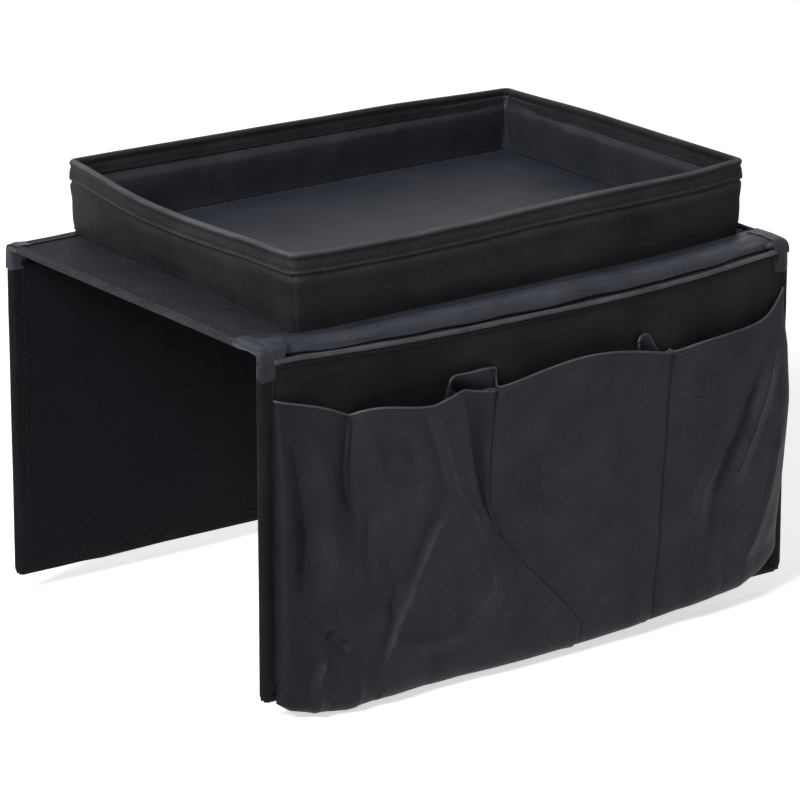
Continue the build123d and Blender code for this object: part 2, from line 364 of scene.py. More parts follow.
# Both pocket cloths paint shade along the first end of each strip; the second, for the near strip's left
# half, paints shade over about its first hundred millimetres as well.
pocket_black, pocket_black_painted_shade = (
    cloth_material(
        name, (0.0122, 0.0158, 0.0232, 1), (0.0178, 0.0166, 0.0192, 1),
        thread=0.7 * mm, relief=0.09 * mm, roughness=0.50, sheen=0.02, specular=0.10, patch=0.32, painted_bands=painted_bands,
    )
    for name, painted_bands in (
        ("crisp black pocket cloth with painted shade at its end", (("X", 0.0, 12.0 * mm, 0.55),)),
        ("pocket cloth with painted shade at its end and left part", (("X", 0.0, 30.0 * mm, 0.66), ("X", 22.0 * mm, 75.0 * mm, 0.7))),
    )
)
# Paler than the cover: a painted highlight on the rolled end hems.
end_hem_painted_highlight = cloth_material(
    "end hem cloth, paler as a painted highlight", (0.0205, 0.0235, 0.0295, 1), (0.0290, 0.0265, 0.0275, 1),
    thread=0.9 * mm, relief=0.12 * mm, roughness=0.60, sheen=0.0, specular=0.06, patch=0.4,
)
# The bands paint highlights on the rim hem: a strong one along the crest of the roll and a weaker one on the
# small ridge below the stitches.
hem_black = cloth_material(
    "rim hem cloth with painted highlights", (0.0118, 0.0134, 0.0168, 1), (0.0170, 0.0152, 0.0152, 1),
    thread=0.9 * mm, relief=0.12 * mm, roughness=0.58, sheen=0.0, specular=0.08, patch=0.4,
    painted_bands=(("Y", 13.2 * mm, 2.6 * mm, 4.0), ("Y", 2.2 * mm, 1.0 * mm, 1.6)),
)
# Much paler than the other cloths: a painted highlight for the beads along the pocket hems and the welts.
edge_painted_highlight = cloth_material(
    "folded edge with painted highlight", (0.0360, 0.0400, 0.0480, 1), (0.0560, 0.0540, 0.0570, 1),
    thread=0.8 * mm, relief=0.10 * mm, roughness=0.45, sheen=0.03, specular=0.18, patch=0.5,
)
tape_black = cloth_material(
    "black binding tape", (0.0052, 0.0062, 0.0085, 1), (0.0080, 0.0074, 0.0080, 1),
    thread=0.8 * mm, relief=0.14 * mm, roughness=0.60, sheen=0.01, specular=0.06,
)

# %% [markdown]
# The thread is plain: a dark polyester with a slight gloss. The stiffeners are hidden
# inside the panels, and get the brown fibre board that such panels hold.

# %% Thread and board
def plain_material(name, dark, pale, scale, roughness, relief):
    """A finish that doesn't follow a weave: two tones mixed by noise, with a bump."""
    material, tree, shader, add = new_material(name)
    place = add("ShaderNodeTexCoord")
    fibres = add(
        "ShaderNodeTexNoise",
        [("Vector", place.outputs["Object"]), ("Scale", scale), ("Detail", 5.0), ("Roughness", 0.7)],
    )
    tone = add("ShaderNodeMix", [(6, dark), (7, pale), (0, fibres.outputs[0])], data_type="RGBA")
    tree.links.new(tone.outputs[2], shader.inputs["Base Color"])
    bump = add("ShaderNodeBump", [("Strength", 0.6), ("Distance", relief), ("Height", fibres.outputs[0])])
    tree.links.new(bump.outputs[0], shader.inputs["Normal"])
    shader.inputs["Roughness"].default_value = roughness
    shader.inputs["Specular IOR Level"].default_value = 0.12
    return material


thread_black = plain_material(
    "black polyester thread", (0.008, 0.008, 0.010, 1), (0.020, 0.020, 0.024, 1), 1500.0, 0.6, 0.03 * mm
)
fibre_board = plain_material(
    "brown fibre board", (0.17, 0.115, 0.07, 1), (0.34, 0.25, 0.17, 1), 260.0, 0.9, 0.1 * mm
)
for name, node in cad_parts.items():
    if "board" in name:
        node.data.materials.clear()
        node.data.materials.append(fibre_board)

# %% [markdown]
# A finished sheet needs four facts: the cloth it is cut from, the body it rides on, the
# plain solids it stands for, and the flat size that it was cut to. One helper gives the
# sheet its cloth and its body, hides the solids and prints the flat size, so no panel is
# forgotten; a sheet that lies between two bodies stays where it is drawn. Boards and
# trim need fewer.

# %% Finishing a sheet
def finish_sheet(
    sheet, material, body, nodes, flat, between=None
):
    """Gives a sheet its cloth and its place on the product; a sheet between two bodies stays where it is
    drawn.
    """
    sheet.data.materials.append(material)
    if between:
        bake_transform(sheet)
    else:
        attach(sheet, body)
    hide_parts(*nodes)
    print("sheet", sheet.name, "flat size in mm:", round(flat[0] / mm), "x", round(flat[1] / mm))


def finish_board(board, body, node):
    """Gives a board that is drawn again its fibres and its place on the product."""
    board.data.materials.append(fibre_board)
    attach(board, body)
    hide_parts(node)


def finish_trim(trim, body):
    """Gives a bead that is sewn to a sheet the pale cloth that paints a highlight along the fold."""
    trim.data.materials.append(edge_painted_highlight)
    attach(trim, body)


# %% [markdown]
# Stitches are small, and there are many, so each is one low ball stretched along the
# seam and sunk half way into the cloth. A row of them is one mesh.

# %% Stitches
stitch_rows = {"saddle": [], "near_flap": [], "far_flap": []}
stitch_pitch = 3.0 * mm
stitch_length = 2.1 * mm
stitch_radius = 0.26 * mm


def sew(body, path):
    """Remembers a row of stitches along a path, for the body that carries it."""
    stitch_rows[body].append(path)


def lay_stitches(body):
    """Makes one mesh of every stitch on a body, from one low ball placed again and again."""
    bm = bmesh.new()
    bmesh.ops.create_uvsphere(bm, u_segments=6, v_segments=4, radius=1)
    ball = bpy.data.meshes.new("stitch")
    bm.to_mesh(ball)
    bm.clear()
    made = 0
    for path in stitch_rows[body]:
        along = 0.0
        next_stitch = stitch_pitch / 2
        for start, end in zip(path, path[1:]):
            step = (end - start).length
            while step > 0 and next_stitch <= along + step:
                middle = start.lerp(end, (next_stitch - along) / step)
                turn = (end - start).to_track_quat("X", "Z").to_matrix().to_4x4()
                stretch = Matrix.Diagonal((stitch_length / 2, stitch_radius, stitch_radius, 1))
                placed = Matrix.Translation(middle) @ turn @ stretch
                ball.transform(placed)
                bm.from_mesh(ball)
                ball.transform(placed.inverted())
                next_stitch += stitch_pitch
                made += 1
            along += step
    stitches = add_mesh(body + "_stitches", bm)
    bpy.data.meshes.remove(ball)
    stitches.data.materials.append(thread_black)
    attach(stitches, body)
    print("stitches on", body, made)


# %% [markdown]
# The tray is a box of four thin walls. Its outer cloth, its lining and its rim hem all
# run round the same rounded rectangle, so they share one set of stations: points round
# the tray with the direction that faces outwards. The corners get closer stations than
# the straight walls.

# %% Stations round the tray
wall_steps = (84, 60)
round_steps = 9


def tray_stations(inset, radius):
    """Points round the tray, each with its outward direction and its distance round."""
    middle = (tray_low + tray_high) / 2
    half_x = (tray_high.x - tray_low.x) / 2 - inset - radius
    half_y = (tray_high.y - tray_low.y) / 2 - inset - radius
    centres = [
        Vector((middle.x + way_x * half_x, middle.y + way_y * half_y))
        for way_x, way_y in ((1, 1), (-1, 1), (-1, -1), (1, -1))
    ]
    stations = []
    for corner, centre in enumerate(centres):
        for step in range(round_steps + 1):
            angle = math.pi / 2 * (corner + step / round_steps)
            out = Vector((math.cos(angle), math.sin(angle)))
            stations.append([centre + out * radius, out])
        start = stations[-1][0]
        goal = centres[(corner + 1) % 4] + out * radius
        steps = wall_steps[corner % 2]
        stations += [[start.lerp(goal, step / steps), out] for step in range(1, steps)]
    stations.append(stations[0])
    distance = 0.0
    placed = []
    for i, (point, out) in enumerate(stations):
        if i:
            distance += (point - stations[i - 1][0]).length
        placed.append((point, out, distance))
    return placed


def carried(point, shift, spring, height):
    """A station moved by a shift and by how far the wall has sprung, at its height."""
    return Vector((point.x + shift.x + spring.x, point.y + shift.y + spring.y, height))


def station_at(stations, share):
    """The station at a share of the grid's columns."""
    return stations[round(share * (len(stations) - 1))]


def corner_closeness(point, reach):
    """1 at the tray's upright corner seams, falling to 0 at reach."""
    nearest = min(
        math.hypot(point.x - x, point.y - y)
        for x in (tray_low.x, tray_high.x) for y in (tray_low.y, tray_high.y)
    )
    return max(0.0, 1 - nearest / reach)


outer_stations = tray_stations(0.0, 4 * mm)
inner_stations = tray_stations(stack, 3 * mm)
tray_round = outer_stations[-1][2]
lining_round = inner_stations[-1][2]
print("round the tray in mm:", round(tray_round / mm))

# %% [markdown]
# Nothing on a used tray is quite true. The saddle sags along its near edge, between the
# corners that the flap holds up. The left wall bows outwards, the near wall bows in and
# its rim dips, and the corners have sprung. Every piece of the tray and the saddle asks
# the two functions here where it stands, so the pieces stay together. A row of a table
# gives a place along the tray and how far the edge has sunk there, in millimetres. The
# saddle's places are counted in millimetres from the tray's left end, the rim's in
# shares of its length.

# %% How the tray and the saddle have settled
saddle_sags = [
    (-42, 0.0), (-28, 0.6), (-15, 2.4), (0, 5.0), (22, 6.0), (60, 5.5), (230, 4.9), (284, 2.9),
    (318, 0.4), (347, 0.0),
]
sag_reach = 62 * mm
near_rim_sags = [
    (0.0, 1.5), (0.07, 2.6), (0.22, 3.2), (0.4, 2.4), (0.5, 1.2), (0.6, 0.5), (0.8, 0.2), (1.0, 0.0),
]
lean_at_foot = 0.35
ends_spread = 3.2 * mm
left_wall_out = 4.4 * mm
left_wall_down = 2.4 * mm
near_wall_in = 1.4 * mm
far_left_up = 3.0 * mm
near_right_up = 2.0 * mm
far_right_down = 1.8 * mm


def sag(x, y):
    """How far the saddle has sunk at a place on it."""
    depth = read_table(saddle_sags, (x - tray_low.x) / mm)[0] * mm
    return depth * ease(0.0, sag_reach, tray_low.y + sag_reach - y)


def sprung(point, up=1.0):
    """How far a wall stands out of true, at a share of its height up."""
    along = min(max((point.x - tray_low.x) / (tray_high.x - tray_low.x), 0.0), 1.0)
    over = min(max((point.y - tray_low.y) / (tray_high.y - tray_low.y), 0.0), 1.0)
    left_bow = math.sin(math.pi * over) * (1 - ease(0.0, 0.1, along))
    near_bow = math.sin(math.pi * along) * (1 - ease(0.0, 0.1, over))
    rise = far_left_up * (1 - along) * ease(0.6, 1.0, over)
    rise += near_right_up * ease(0.86, 1.0, along) * (1 - over)
    rise -= far_right_down * ease(0.7, 1.0, along) * ease(0.6, 1.0, over)
    rise -= left_wall_down * left_bow
    rise -= read_table(near_rim_sags, along)[0] * mm * (1 - ease(0.0, 0.2, over))
    leaned = lean_at_foot + (1 - lean_at_foot) * up
    sideways = ends_spread * (along - 0.5) - left_wall_out * left_bow
    return Vector((sideways * leaned, -near_wall_in * near_bow * leaned, rise * up))

# %% [markdown]
# The outer cloth is pulled over the wall boards and glued, so it is nearly flat, with
# slow waves where the board gives. The cloth is joined at the corners, where a seam
# draws it in.

# %% The tray's outer cloth
wall_high = rim_top - 6 * mm


def outer_wall(across, up):
    """A point of the outer cloth, from the saddle up to under the rim hem."""
    point, out, distance = station_at(outer_stations, across)
    foot = saddle_top - sag(point.x, point.y)
    height = part_way(foot, wall_high, up)
    give = math.sin(math.pi * min(up * 1.15, 1.0)) * (1 - corner_closeness(point, 25 * mm))
    wave = waves(distance, height, 70 * mm, 2.0) + 0.5 * waves(distance, height, 24 * mm, 5.0)
    swell = 0.5 * mm * wave * give + 0.5 * crumple(distance, height, 7.0)
    drawn = (0.9 * corner_closeness(point, 4.6 * mm) + 2.0 * corner_closeness(point, 2.6 * mm)) * mm
    spring = sprung(point, up)
    below_rim = (rim_top + sprung(point).z - height) / mm
    ledge = 1.2 * mm * ease(12.6, 14.8, below_rim) * (1 - ease(15.6, 25.0, below_rim))
    belly = 0.7 * mm * math.sin(math.pi * min(up * 1.3, 1.0))
    base_tuck = 0.7 * mm * (1 - ease(0.0, 0.25, up))
    return carried(point, out * (swell + ledge + belly - drawn - base_tuck), spring, height)


outer_cloth = cloth_sheet(
    "tray_outer_cloth", outer_wall, len(outer_stations) - 1, 34, closed=True, thickness=0.7 * mm,
)
# The wall cloth carries a painted highlight along the ledge under the rim hem.
finish_sheet(
    outer_cloth, cover_black, "saddle", ["tray_outer_cover"],
    (tray_round, wall_high - saddle_top),
)

# %% [markdown]
# The lining is looser than the outer cloth. It stands a little off the boards, and soft
# upright wrinkles run down it, deepest near the corners where there is more cloth than
# the wall needs.

# %% The tray's lining
lining_low = floor_top - 1 * mm


def inner_wall(across, up):
    """A point of the lining; it faces the inside of the tray."""
    point, out, distance = station_at(inner_stations, across)
    height = part_way(lining_low, wall_high, up)
    loose = ease(0.05, 0.7, up) * (1 - ease(0.74, 0.92, up))
    upright = waves(distance * 2.2, height * 0.5, 40 * mm, 11.0)
    upright += 0.6 * waves(distance * 3, height, 22 * mm, 4.0)
    slack = 0.25 * mm + (1.9 + 1.7 * max(0.0, upright)) * mm * loose + abs(crumple(distance, height, 9.0))
    seam = 0.9 * mm * corner_closeness(point, 7 * mm)
    return carried(point, out * (-slack - seam), sprung(point, up), height)


lining = cloth_sheet(
    "tray_lining", inner_wall, len(inner_stations) - 1, 28,
    turned=True, closed=True, thickness=thin_cloth,
)
finish_sheet(
    lining, satin_black, "saddle", ["tray_inner_lining"],
    (lining_round, wall_high - lining_low),
)

# %% [markdown]
# The rim hem is one strip folded over the top of the walls. Over the board's edge it
# makes a plump roll, and about nine millimetres lower a row of stitches presses it
# into a groove, so the cloth stands up again as a small ridge below the stitches. The
# profile is drawn once and carried round the stations.

# %% The rim hem
roll_wide = stack / 2 + 0.75 * mm
roll_high = 1.9 * mm
roll_steps = 8
hem_side = [
    (0.35, -11.7), (0.95, -11.5), (1.35, -11.0), (1.40, -10.2), (1.15, -9.3), (0.85, -8.6), (1.05, -7.8),
    (1.00, -6.6), (0.60, -5.4), (0.15, -4.5), (0.30, -3.6), (0.75, -2.7),
]
hem_inside = [
    (0.35, -11.0), (0.95, -10.8), (1.25, -10.1), (0.95, -9.2), (0.65, -8.4), (0.75, -7.2), (0.50, -5.6),
    (0.10, -4.4), (0.40, -3.2),
]
hem_depth = 11.6 * mm
stitch_drop = 8.6 * mm


def rim_profile():
    """The hem's section as distances out from the wall's face and heights from the top."""
    middle = Vector((-stack / 2, -roll_high))
    roll = []
    for step in range(roll_steps + 1):
        angle = math.pi * step / roll_steps
        wide = roll_wide + 0.3 * mm * max(math.cos(angle), 0.0)
        roll.append(middle + Vector((math.cos(angle) * wide, math.sin(angle) * roll_high)))
    inside = [Vector((-stack - out * mm, drop * mm)) for out, drop in reversed(hem_inside)]
    return at_mm(hem_side) + roll + inside


rim_section = rim_profile()


def rim_point(across, over):
    """A point of the rim hem, from its outer edge over the roll to its inner edge."""
    point, out, distance = station_at(outer_stations, across)
    section = soft_line(rim_section, over)
    uneven = 0.22 * mm * waves(distance, section.y * 3, 30 * mm, 21.0)
    pucker = 0.10 * mm * math.sin(2 * math.pi * distance / (stitch_pitch * 2))
    pucker = pucker * (1 - ease(0.0, 2.5 * mm, abs(-section.y - stitch_drop)))
    side = 1 if section.x > -stack / 2 else -1
    corner_tuck = 0.5 * mm * corner_closeness(point, 5 * mm)
    spring = sprung(point)
    lift = 0.25 * mm * waves(distance, 0.0, 55 * mm, 31.0) * ease(-8 * mm, 0.0, section.y)
    shift = out * (section.x + side * (uneven + pucker) - corner_tuck)
    return carried(point, shift, spring, rim_top - 0.3 * mm + section.y + lift + spring.z)


rim_strip = 2 * hem_depth + 6 * mm
rim_hem = cloth_sheet(
    "tray_rim_hem", rim_point, len(outer_stations) - 1, 60, closed=True, thickness=thin_cloth,
)
# The hem cloth paints highlights along the roll's crest and the small ridge.
finish_sheet(
    rim_hem, hem_black, "saddle", ["tray_rim_binding"], (tray_round, rim_strip),
)
stitch_stand = 1.15 * mm
for stations, side in ((outer_stations, 1), (inner_stations, -1)):
    row = []
    for point, out, distance in stations:
        spring = sprung(point)
        row.append(carried(point, out * side * stitch_stand, spring, rim_top - stitch_drop + spring.z))
    sew("saddle", row)
seam_inset = 2.0 * mm
for seam_y, way_y in ((tray_low.y, -1), (tray_high.y, 1)):
    for seam_x, way_x in ((tray_low.x, -1), (tray_high.x, 1)):
        spring = sprung(Vector((seam_x, seam_y)))
        x = seam_x - way_x * seam_inset + spring.x
        y = seam_y - way_y * seam_inset
        foot = Vector((x, y, saddle_top - sag(seam_x, seam_y) + 2 * mm))
        sew("saddle", [foot, Vector((x, y, rim_top - hem_depth - 1 * mm + spring.z))])

# %% [markdown]
# The boards inside the walls have bowed with the cloth, so each is drawn again along the
# same path.

# %% The wall boards
def bent_board(side, runs_along, turned):
    """The board of one wall, bowed and leaned as the wall stands."""
    node = f"tray_{side}_wall_board"
    low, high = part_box(node)
    face_x = low.x if side == "left" else high.x
    face_y = low.y if side == "near" else high.y

    def place(across, up):
        x = part_way(low.x, high.x, across) if runs_along else face_x
        y = face_y if runs_along else part_way(low.y, high.y, across)
        return Vector((x, y, part_way(low.z, high.z, up))) + sprung(Vector((x, y)), up)

    thin = high.y - low.y if runs_along else high.x - low.x
    board = cloth_sheet(f"tray_{side}_board", place, 60, 8, turned=turned, thickness=thin)
    finish_board(board, "saddle", node)


for side, runs_along, turned in (
    ("near", True, False), ("far", True, True), ("left", False, True), ("right", False, False)
):
    bent_board(side, runs_along, turned)

# %% [markdown]
# The tray's floor is a smooth satin laid over a board. It is crowned by less than a
# millimetre and tucks down along the walls, which is enough for the light to fade
# softly across it.

# %% The tray's floor
floor_low, floor_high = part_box("tray_floor_lining")


def floor_point(across, along):
    """A point of the floor cloth."""
    x = part_way(floor_low.x, floor_high.x, across)
    y = part_way(floor_low.y, floor_high.y, along)
    edge = min(across, 1 - across, (along if along < 0.5 else 1 - along) * 0.72)
    crown = 0.9 * mm * ease(0.0, 0.12, edge)
    spring = sprung(Vector((x, y)), 0.0)
    height = floor_high.z - 0.6 * mm + crown + 0.25 * mm * waves(x, y, 80 * mm, 41.0)
    return Vector((x + spring.x, y + spring.y, height))


floor_size = (floor_high.x - floor_low.x, floor_high.y - floor_low.y)
floor_cloth = cloth_sheet("tray_floor_cloth", floor_point, 90, 64, thickness=thin_cloth)
finish_sheet(
    floor_cloth, floor_satin, "saddle", ["tray_floor_lining"], floor_size,
)

# %% [markdown]
# The saddle's cover is the coarse cloth that shows as a shelf beside the tray. Its
# lining is the face that lies on the arm. Both sag with the board between them, and the
# end hems roll over their edges.

# %% The saddle's cover and lining
cover_low, cover_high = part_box("saddle_cover")
saddle_size = (cover_high.x - cover_low.x, cover_high.y - cover_low.y)


def shelf_point(across, along):
    """A point of the saddle's cover."""
    x = part_way(cover_low.x, cover_high.x, across)
    y = part_way(cover_low.y, cover_high.y, along)
    uneven = 0.25 * mm * waves(x, y, 45 * mm, 51.0) + 0.2 * crumple(x, y, 52.0)
    return Vector((x, y, saddle_top + uneven - sag(x, y)))


def underside_point(across, along):
    """A point of the saddle's lining, seen from below."""
    point = shelf_point(across, along)
    low = sag(point.x, point.y)
    return Vector((point.x, point.y, 0.15 * mm + 0.3 * (point.z + low - saddle_top) - low))


board_low, board_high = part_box("saddle_board")


def saddle_stiffener(across, along):
    """A point of the saddle's board, a little short of its edges."""
    x = part_way(board_low.x, board_high.x, across, board_inset)
    y = part_way(board_low.y, board_high.y, along, board_inset)
    return Vector((x, y, board_high.z - sag(x, y) - 0.1 * mm))


stiffener = cloth_sheet(
    "saddle_stiffener", saddle_stiffener, 60, 40, thickness=board_high.z - board_low.z
)
finish_board(stiffener, "saddle", "saddle_board")
shelf = cloth_sheet("saddle_cover_cloth", shelf_point, 150, 100)
finish_sheet(
    shelf, shelf_black, "saddle", ["saddle_cover"], saddle_size,
)
underside = cloth_sheet(
    "saddle_lining_cloth", underside_point, 80, 50, turned=True, thickness=thin_cloth,
)
finish_sheet(
    underside, satin_black, "saddle", ["saddle_lining"], saddle_size,
)

# %% [markdown]
# A binding is a folded strip that wraps an edge: down one side, round the nose and back
# along the other. One function draws every binding on the product from a row of
# places along the edge. Each place gives the edge's point, the direction that points
# out of the panel, and the direction of the panel's outer face.

# %% Bindings
def binding_section(leg_out, leg_in, depth, plump):
    """The section of a binding as shares of out-of-the-edge and off-the-face distances."""
    face = depth / 2 + 0.5 * mm
    nose = []
    for step in range(5):
        angle = math.pi * (0.5 - step / 4)
        nose.append(Vector((-1.0 * mm + math.cos(angle) * 2.3 * mm, math.sin(angle) * face)))
    return [
        Vector((-leg_out, face - 0.55 * mm)), Vector((-leg_out, face)),
        Vector((-leg_out + 0.8 * mm, face + 0.15 * mm)), Vector((-leg_out + 1.5 * mm, face - 0.2 * mm)),
        Vector((-leg_out * 0.5, face + plump)), Vector((-1.6 * mm, face + plump * 0.6)),
        *nose,
        Vector((-1.6 * mm, -face - plump * 0.4)), Vector((-leg_in * 0.5, -face - plump * 0.4)),
        Vector((-leg_in + 1.5 * mm, -face + 0.2 * mm)), Vector((-leg_in, -face)),
        Vector((-leg_in, -face + 0.55 * mm)),
    ]


def binding(name, places, legs, depth, seed, plump=0.35 * mm, turned=False, wrinkle=0.16 * mm):
    """A binding along a row of (point on the panel's edge, outward, off the face)."""
    section = binding_section(legs[0], legs[1], depth, plump)
    distances = [0.0]
    for before, after in zip(places, places[1:]):
        distances.append(distances[-1] + (after[0] - before[0]).length)

    def place(across, over):
        index = round(across * (len(places) - 1))
        edge, outward, off = places[index]
        flat = soft_line(section, over)
        pucker = wrinkle * waves(distances[index] * 0.6, over * 9 * mm, 5 * mm, seed)
        uneven = 0.2 * mm * waves(distances[index], over * 10 * mm, 40 * mm, seed + 2)
        side = 1 if flat.y > 0 else -1
        return edge + outward * (flat.x + uneven) + off * (flat.y + side * pucker)

    size = (distances[-1], legs[0] + legs[1] + 2 * depth)
    sheet = cloth_sheet(name, place, len(places) - 1, 34, turned=turned, thickness=thin_cloth)
    return sheet, size


def straight_places(start, end, steps, outward, off):
    """Places for a straight binding."""
    return [(start.lerp(end, i / steps), outward, off) for i in range(steps + 1)]


# %% [markdown]
# The saddle's two ends are hemmed. From the side the hem is the bright rolled edge that
# runs from one flap to the other; its paler cloth paints that brightness as a highlight.

# %% The saddle's end hems
hem_leg = 4.2 * mm
for end, edge_x, sign in ends:
    node = f"saddle_{end}_binding"
    low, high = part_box(node)
    outward = Vector((sign, 0, 0))
    start = Vector((edge_x - sign * edge_in, low.y, saddle_middle))
    finish = Vector((start.x, high.y, saddle_middle))
    leg = high.x - low.x - edge_in
    hem, size = binding(
        f"saddle_{end}_hem", straight_places(start, finish, 90, outward, Vector((0, 0, 1))),
        (hem_leg, leg), saddle_top - 1.4 * mm, 61.0 + sign, plump=0.6 * mm, turned=sign > 0,
    )
    finish_sheet(hem, end_hem_painted_highlight, "saddle", [node], size)
    row_x = edge_x - sign * (hem_leg + 0.5 * mm)
    top_row = saddle_top + 0.5 * mm
    sew("saddle", [Vector((row_x, start.y, top_row)), Vector((row_x, finish.y, top_row))])

# %% [markdown]
# At each corner of the saddle the hem turns down with the fold and runs on into the
# flap's side binding. That short corner of tape is a piece of its own, drawn bent round
# the hinge and left where it is drawn, carried by neither the saddle nor the flap.

# %% The corner tapes
near_hinge_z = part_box("near_flap_cover")[1].z
far_hinge_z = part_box("far_flap_cover")[1].z
bend_radius = 3.2 * mm
tape_start = 5 * mm
flat_steps = 16
bend_steps = 10
down_steps = 14


def corner_places(edge_x, way, board_y, face_y, sign, low_z):
    """Places from the end hem, round the fold and down the side of the flap."""
    middle_y = face_y - sign * (stack - cloth) / 2
    outward = Vector((way, 0, 0))
    x = edge_x - way * edge_in
    places = []
    begin = board_y - sign * tape_start
    finish = middle_y - sign * bend_radius
    for i in range(flat_steps):
        y = part_way(begin, finish, i / flat_steps)
        places.append((Vector((x, y, saddle_middle)), outward, Vector((0, 0, 1))))
    for i in range(bend_steps + 1):
        angle = math.pi / 2 * i / bend_steps
        off = Vector((0, sign * math.sin(angle), math.cos(angle)))
        centre = Vector((x, finish, saddle_middle - bend_radius))
        places.append((centre + off * bend_radius, outward, off))
    top = saddle_middle - bend_radius
    for i in range(1, down_steps + 1):
        at = Vector((x, middle_y, part_way(top, low_z, i / down_steps)))
        places.append((at, outward, Vector((0, sign, 0))))
    return places


def make_corner(name, edge_x, way, board_y, face_y, sign, hinge_z, body):
    """The tape at one corner of the saddle, bending from the saddle to a flap."""
    places = corner_places(edge_x, way, board_y, face_y, sign, hinge_z - 5 * mm)
    leg = binding_width - 1.0 * mm
    tape, size = binding(
        name, places, (leg, leg), stack - 0.1 * mm, 63.0 + way + sign, plump=0.5 * mm,
        turned=way * sign > 0, wrinkle=0.7 * mm,
    )
    node = f"{'near' if sign < 0 else 'far'}_fold_strip"
    finish_sheet(
        tape, fold_satin, None, [node], size,
        between=("saddle", body, (0, board_y, saddle_top), (0, face_y, hinge_z + 1 * mm)),
    )


for end, edge_x, way in ends:
    make_corner(f"near_{end}_corner", edge_x, way, board_near, near_face, -1, near_hinge_z, "near_flap")
    make_corner(f"far_{end}_corner", edge_x, way, board_far, far_face, 1, far_hinge_z, "far_flap")

# %% [markdown]
# The near fold is the limp satin strip between the tray and the near flap. At the ends
# a crisp corner of the cover holds it level right to the edge, and between them it
# sags to the flap's top edge, which itself hangs in a shallow curve. Two fine seams
# run along it at the foot of the tray. A row of near_limp gives the distance from the
# tray's near wall, the height above the saddle and the share of the drop to the flap.
# The two patches give how far the crisp corners reach in, at the tray and at the flap.

# %% How the near flap's top edge hangs
near_ridge_depths = [
    (0, 7.0), (11, 7.6), (27, 8.1), (52, 9.5), (78, 10.7), (104, 11.7), (131, 12.1), (171, 12.4),
    (212, 12.6), (254, 12.1), (296, 10.4), (332, 7.3), (349, 6.0), (360, 5.2),
]


def near_ridge(x):
    """The height of the near flap's top edge at a place along it."""
    depth = read_table(near_ridge_depths, (x - x_left) / mm)[0]
    return saddle_top - depth * mm


near_limp = [
    (0.4, 0.7, 0), (-3, 0.8, 0), (-7, 0.8, 0), (-10.5, 1.3, 0), (-14, 1.1, 0), (-17.5, 0, 0.12),
    (-20.4, 0, 0.36), (-22.2, 0, 0.60), (-23, 0, 0.78), (-22.6, 0, 0.92), (-21.8, 0, 1.05), (-22.6, 0, 1.22),
]
left_patch = (31.0, 13.0)
right_patch = (14.0, 8.0)
near_reach = near_face - 0.6 * mm
foot_seams = (1.4 * mm, 4.4 * mm)
foot_seam_high = 0.45 * mm
foot_seam_half = 0.7 * mm
fold_inset = 0.4 * mm


def near_level(x, outward_share):
    """1 where the crisp corner holds the near fold level, and 0 where it is limp."""
    level = 0.0
    for patch, from_end in ((left_patch, x - x_left), (right_patch, x_right - x)):
        edge = part_way(*patch, outward_share)
        level = max(level, 1 - ease(edge - 0.6, edge + 1.0, from_end / mm))
    return level


def near_fold_point(across, outward_share):
    """A point of the near fold, from the foot of the tray out to the flap's top edge."""
    x = part_way(x_left, x_right, across, fold_inset)
    ridge = near_ridge(x) + 0.6 * mm
    low = sag(x, tray_low.y)
    top = saddle_top - low
    limp = [
        Vector((tray_low.y + out * mm, top + rise * mm + share * (ridge - top)))
        for out, rise, share in near_limp
    ]
    limp.append(Vector((near_reach + 2.0 * mm, ridge - 1.6 * mm)))
    limp.append(Vector((near_reach + 0.8 * mm, ridge - 0.8 * mm)))
    crisp = [
        limp[0],
        Vector((tray_low.y - 6 * mm, saddle_top - 0.7 * low + 0.7 * mm)),
        Vector((board_near - 4 * mm, saddle_top - 0.3 * low + 0.6 * mm)),
        Vector((near_reach + 6 * mm, saddle_top + 0.1 * mm)),
        Vector((near_reach + 2.2 * mm, saddle_top - 0.6 * mm)),
        Vector((near_reach + 0.3 * mm, saddle_top - 2.6 * mm)),
        Vector((near_reach - 0.3 * mm, ridge - 0.6 * mm)),
        Vector((near_reach - 0.3 * mm, ridge - 2.5 * mm)),
    ]
    held = near_level(x, outward_share)
    flat = soft_line(limp, outward_share) * (1 - held) + soft_line(crisp, outward_share) * held
    from_tray = tray_low.y - flat.x
    seams = 0.0
    for seam in foot_seams:
        seams += foot_seam_high * max(0.0, 1 - abs(from_tray - seam) / foot_seam_half)
    loose = (1 - held) * math.sin(math.pi * outward_share)
    streaks = waves(x * 0.2, flat.x + flat.y, 6 * mm, 71.0)
    sway = (1.2 * streaks + 0.5 * waves(x * 0.6, flat.x, 14 * mm, 73.0)) * mm * loose
    sway = max(sway, -0.2 * mm) if flat.x > board_near - 4 * mm else sway
    return Vector((x, flat.x, flat.y + seams * (1 - held) + sway))


near_fold_size = (saddle_length, 31 * mm)
near_fold = cloth_sheet(
    "near_fold_cloth", near_fold_point, 240, 60, turned=True, thickness=thin_cloth,
)
# The fold's satin paints the light on its top, the wall's shadow at its foot and the shade where it turns
# down.
finish_sheet(
    near_fold, limp_satin, None, ["near_fold_strip"], near_fold_size,
    between=("saddle", "near_flap", (0, board_near, saddle_top), (0, near_face, near_hinge_z + 1 * mm)),
)

# %% [markdown]
# On the far side the tray stands almost at the edge, so the fold is only a narrow strip
# of cover cloth that turns straight down to the far flap.

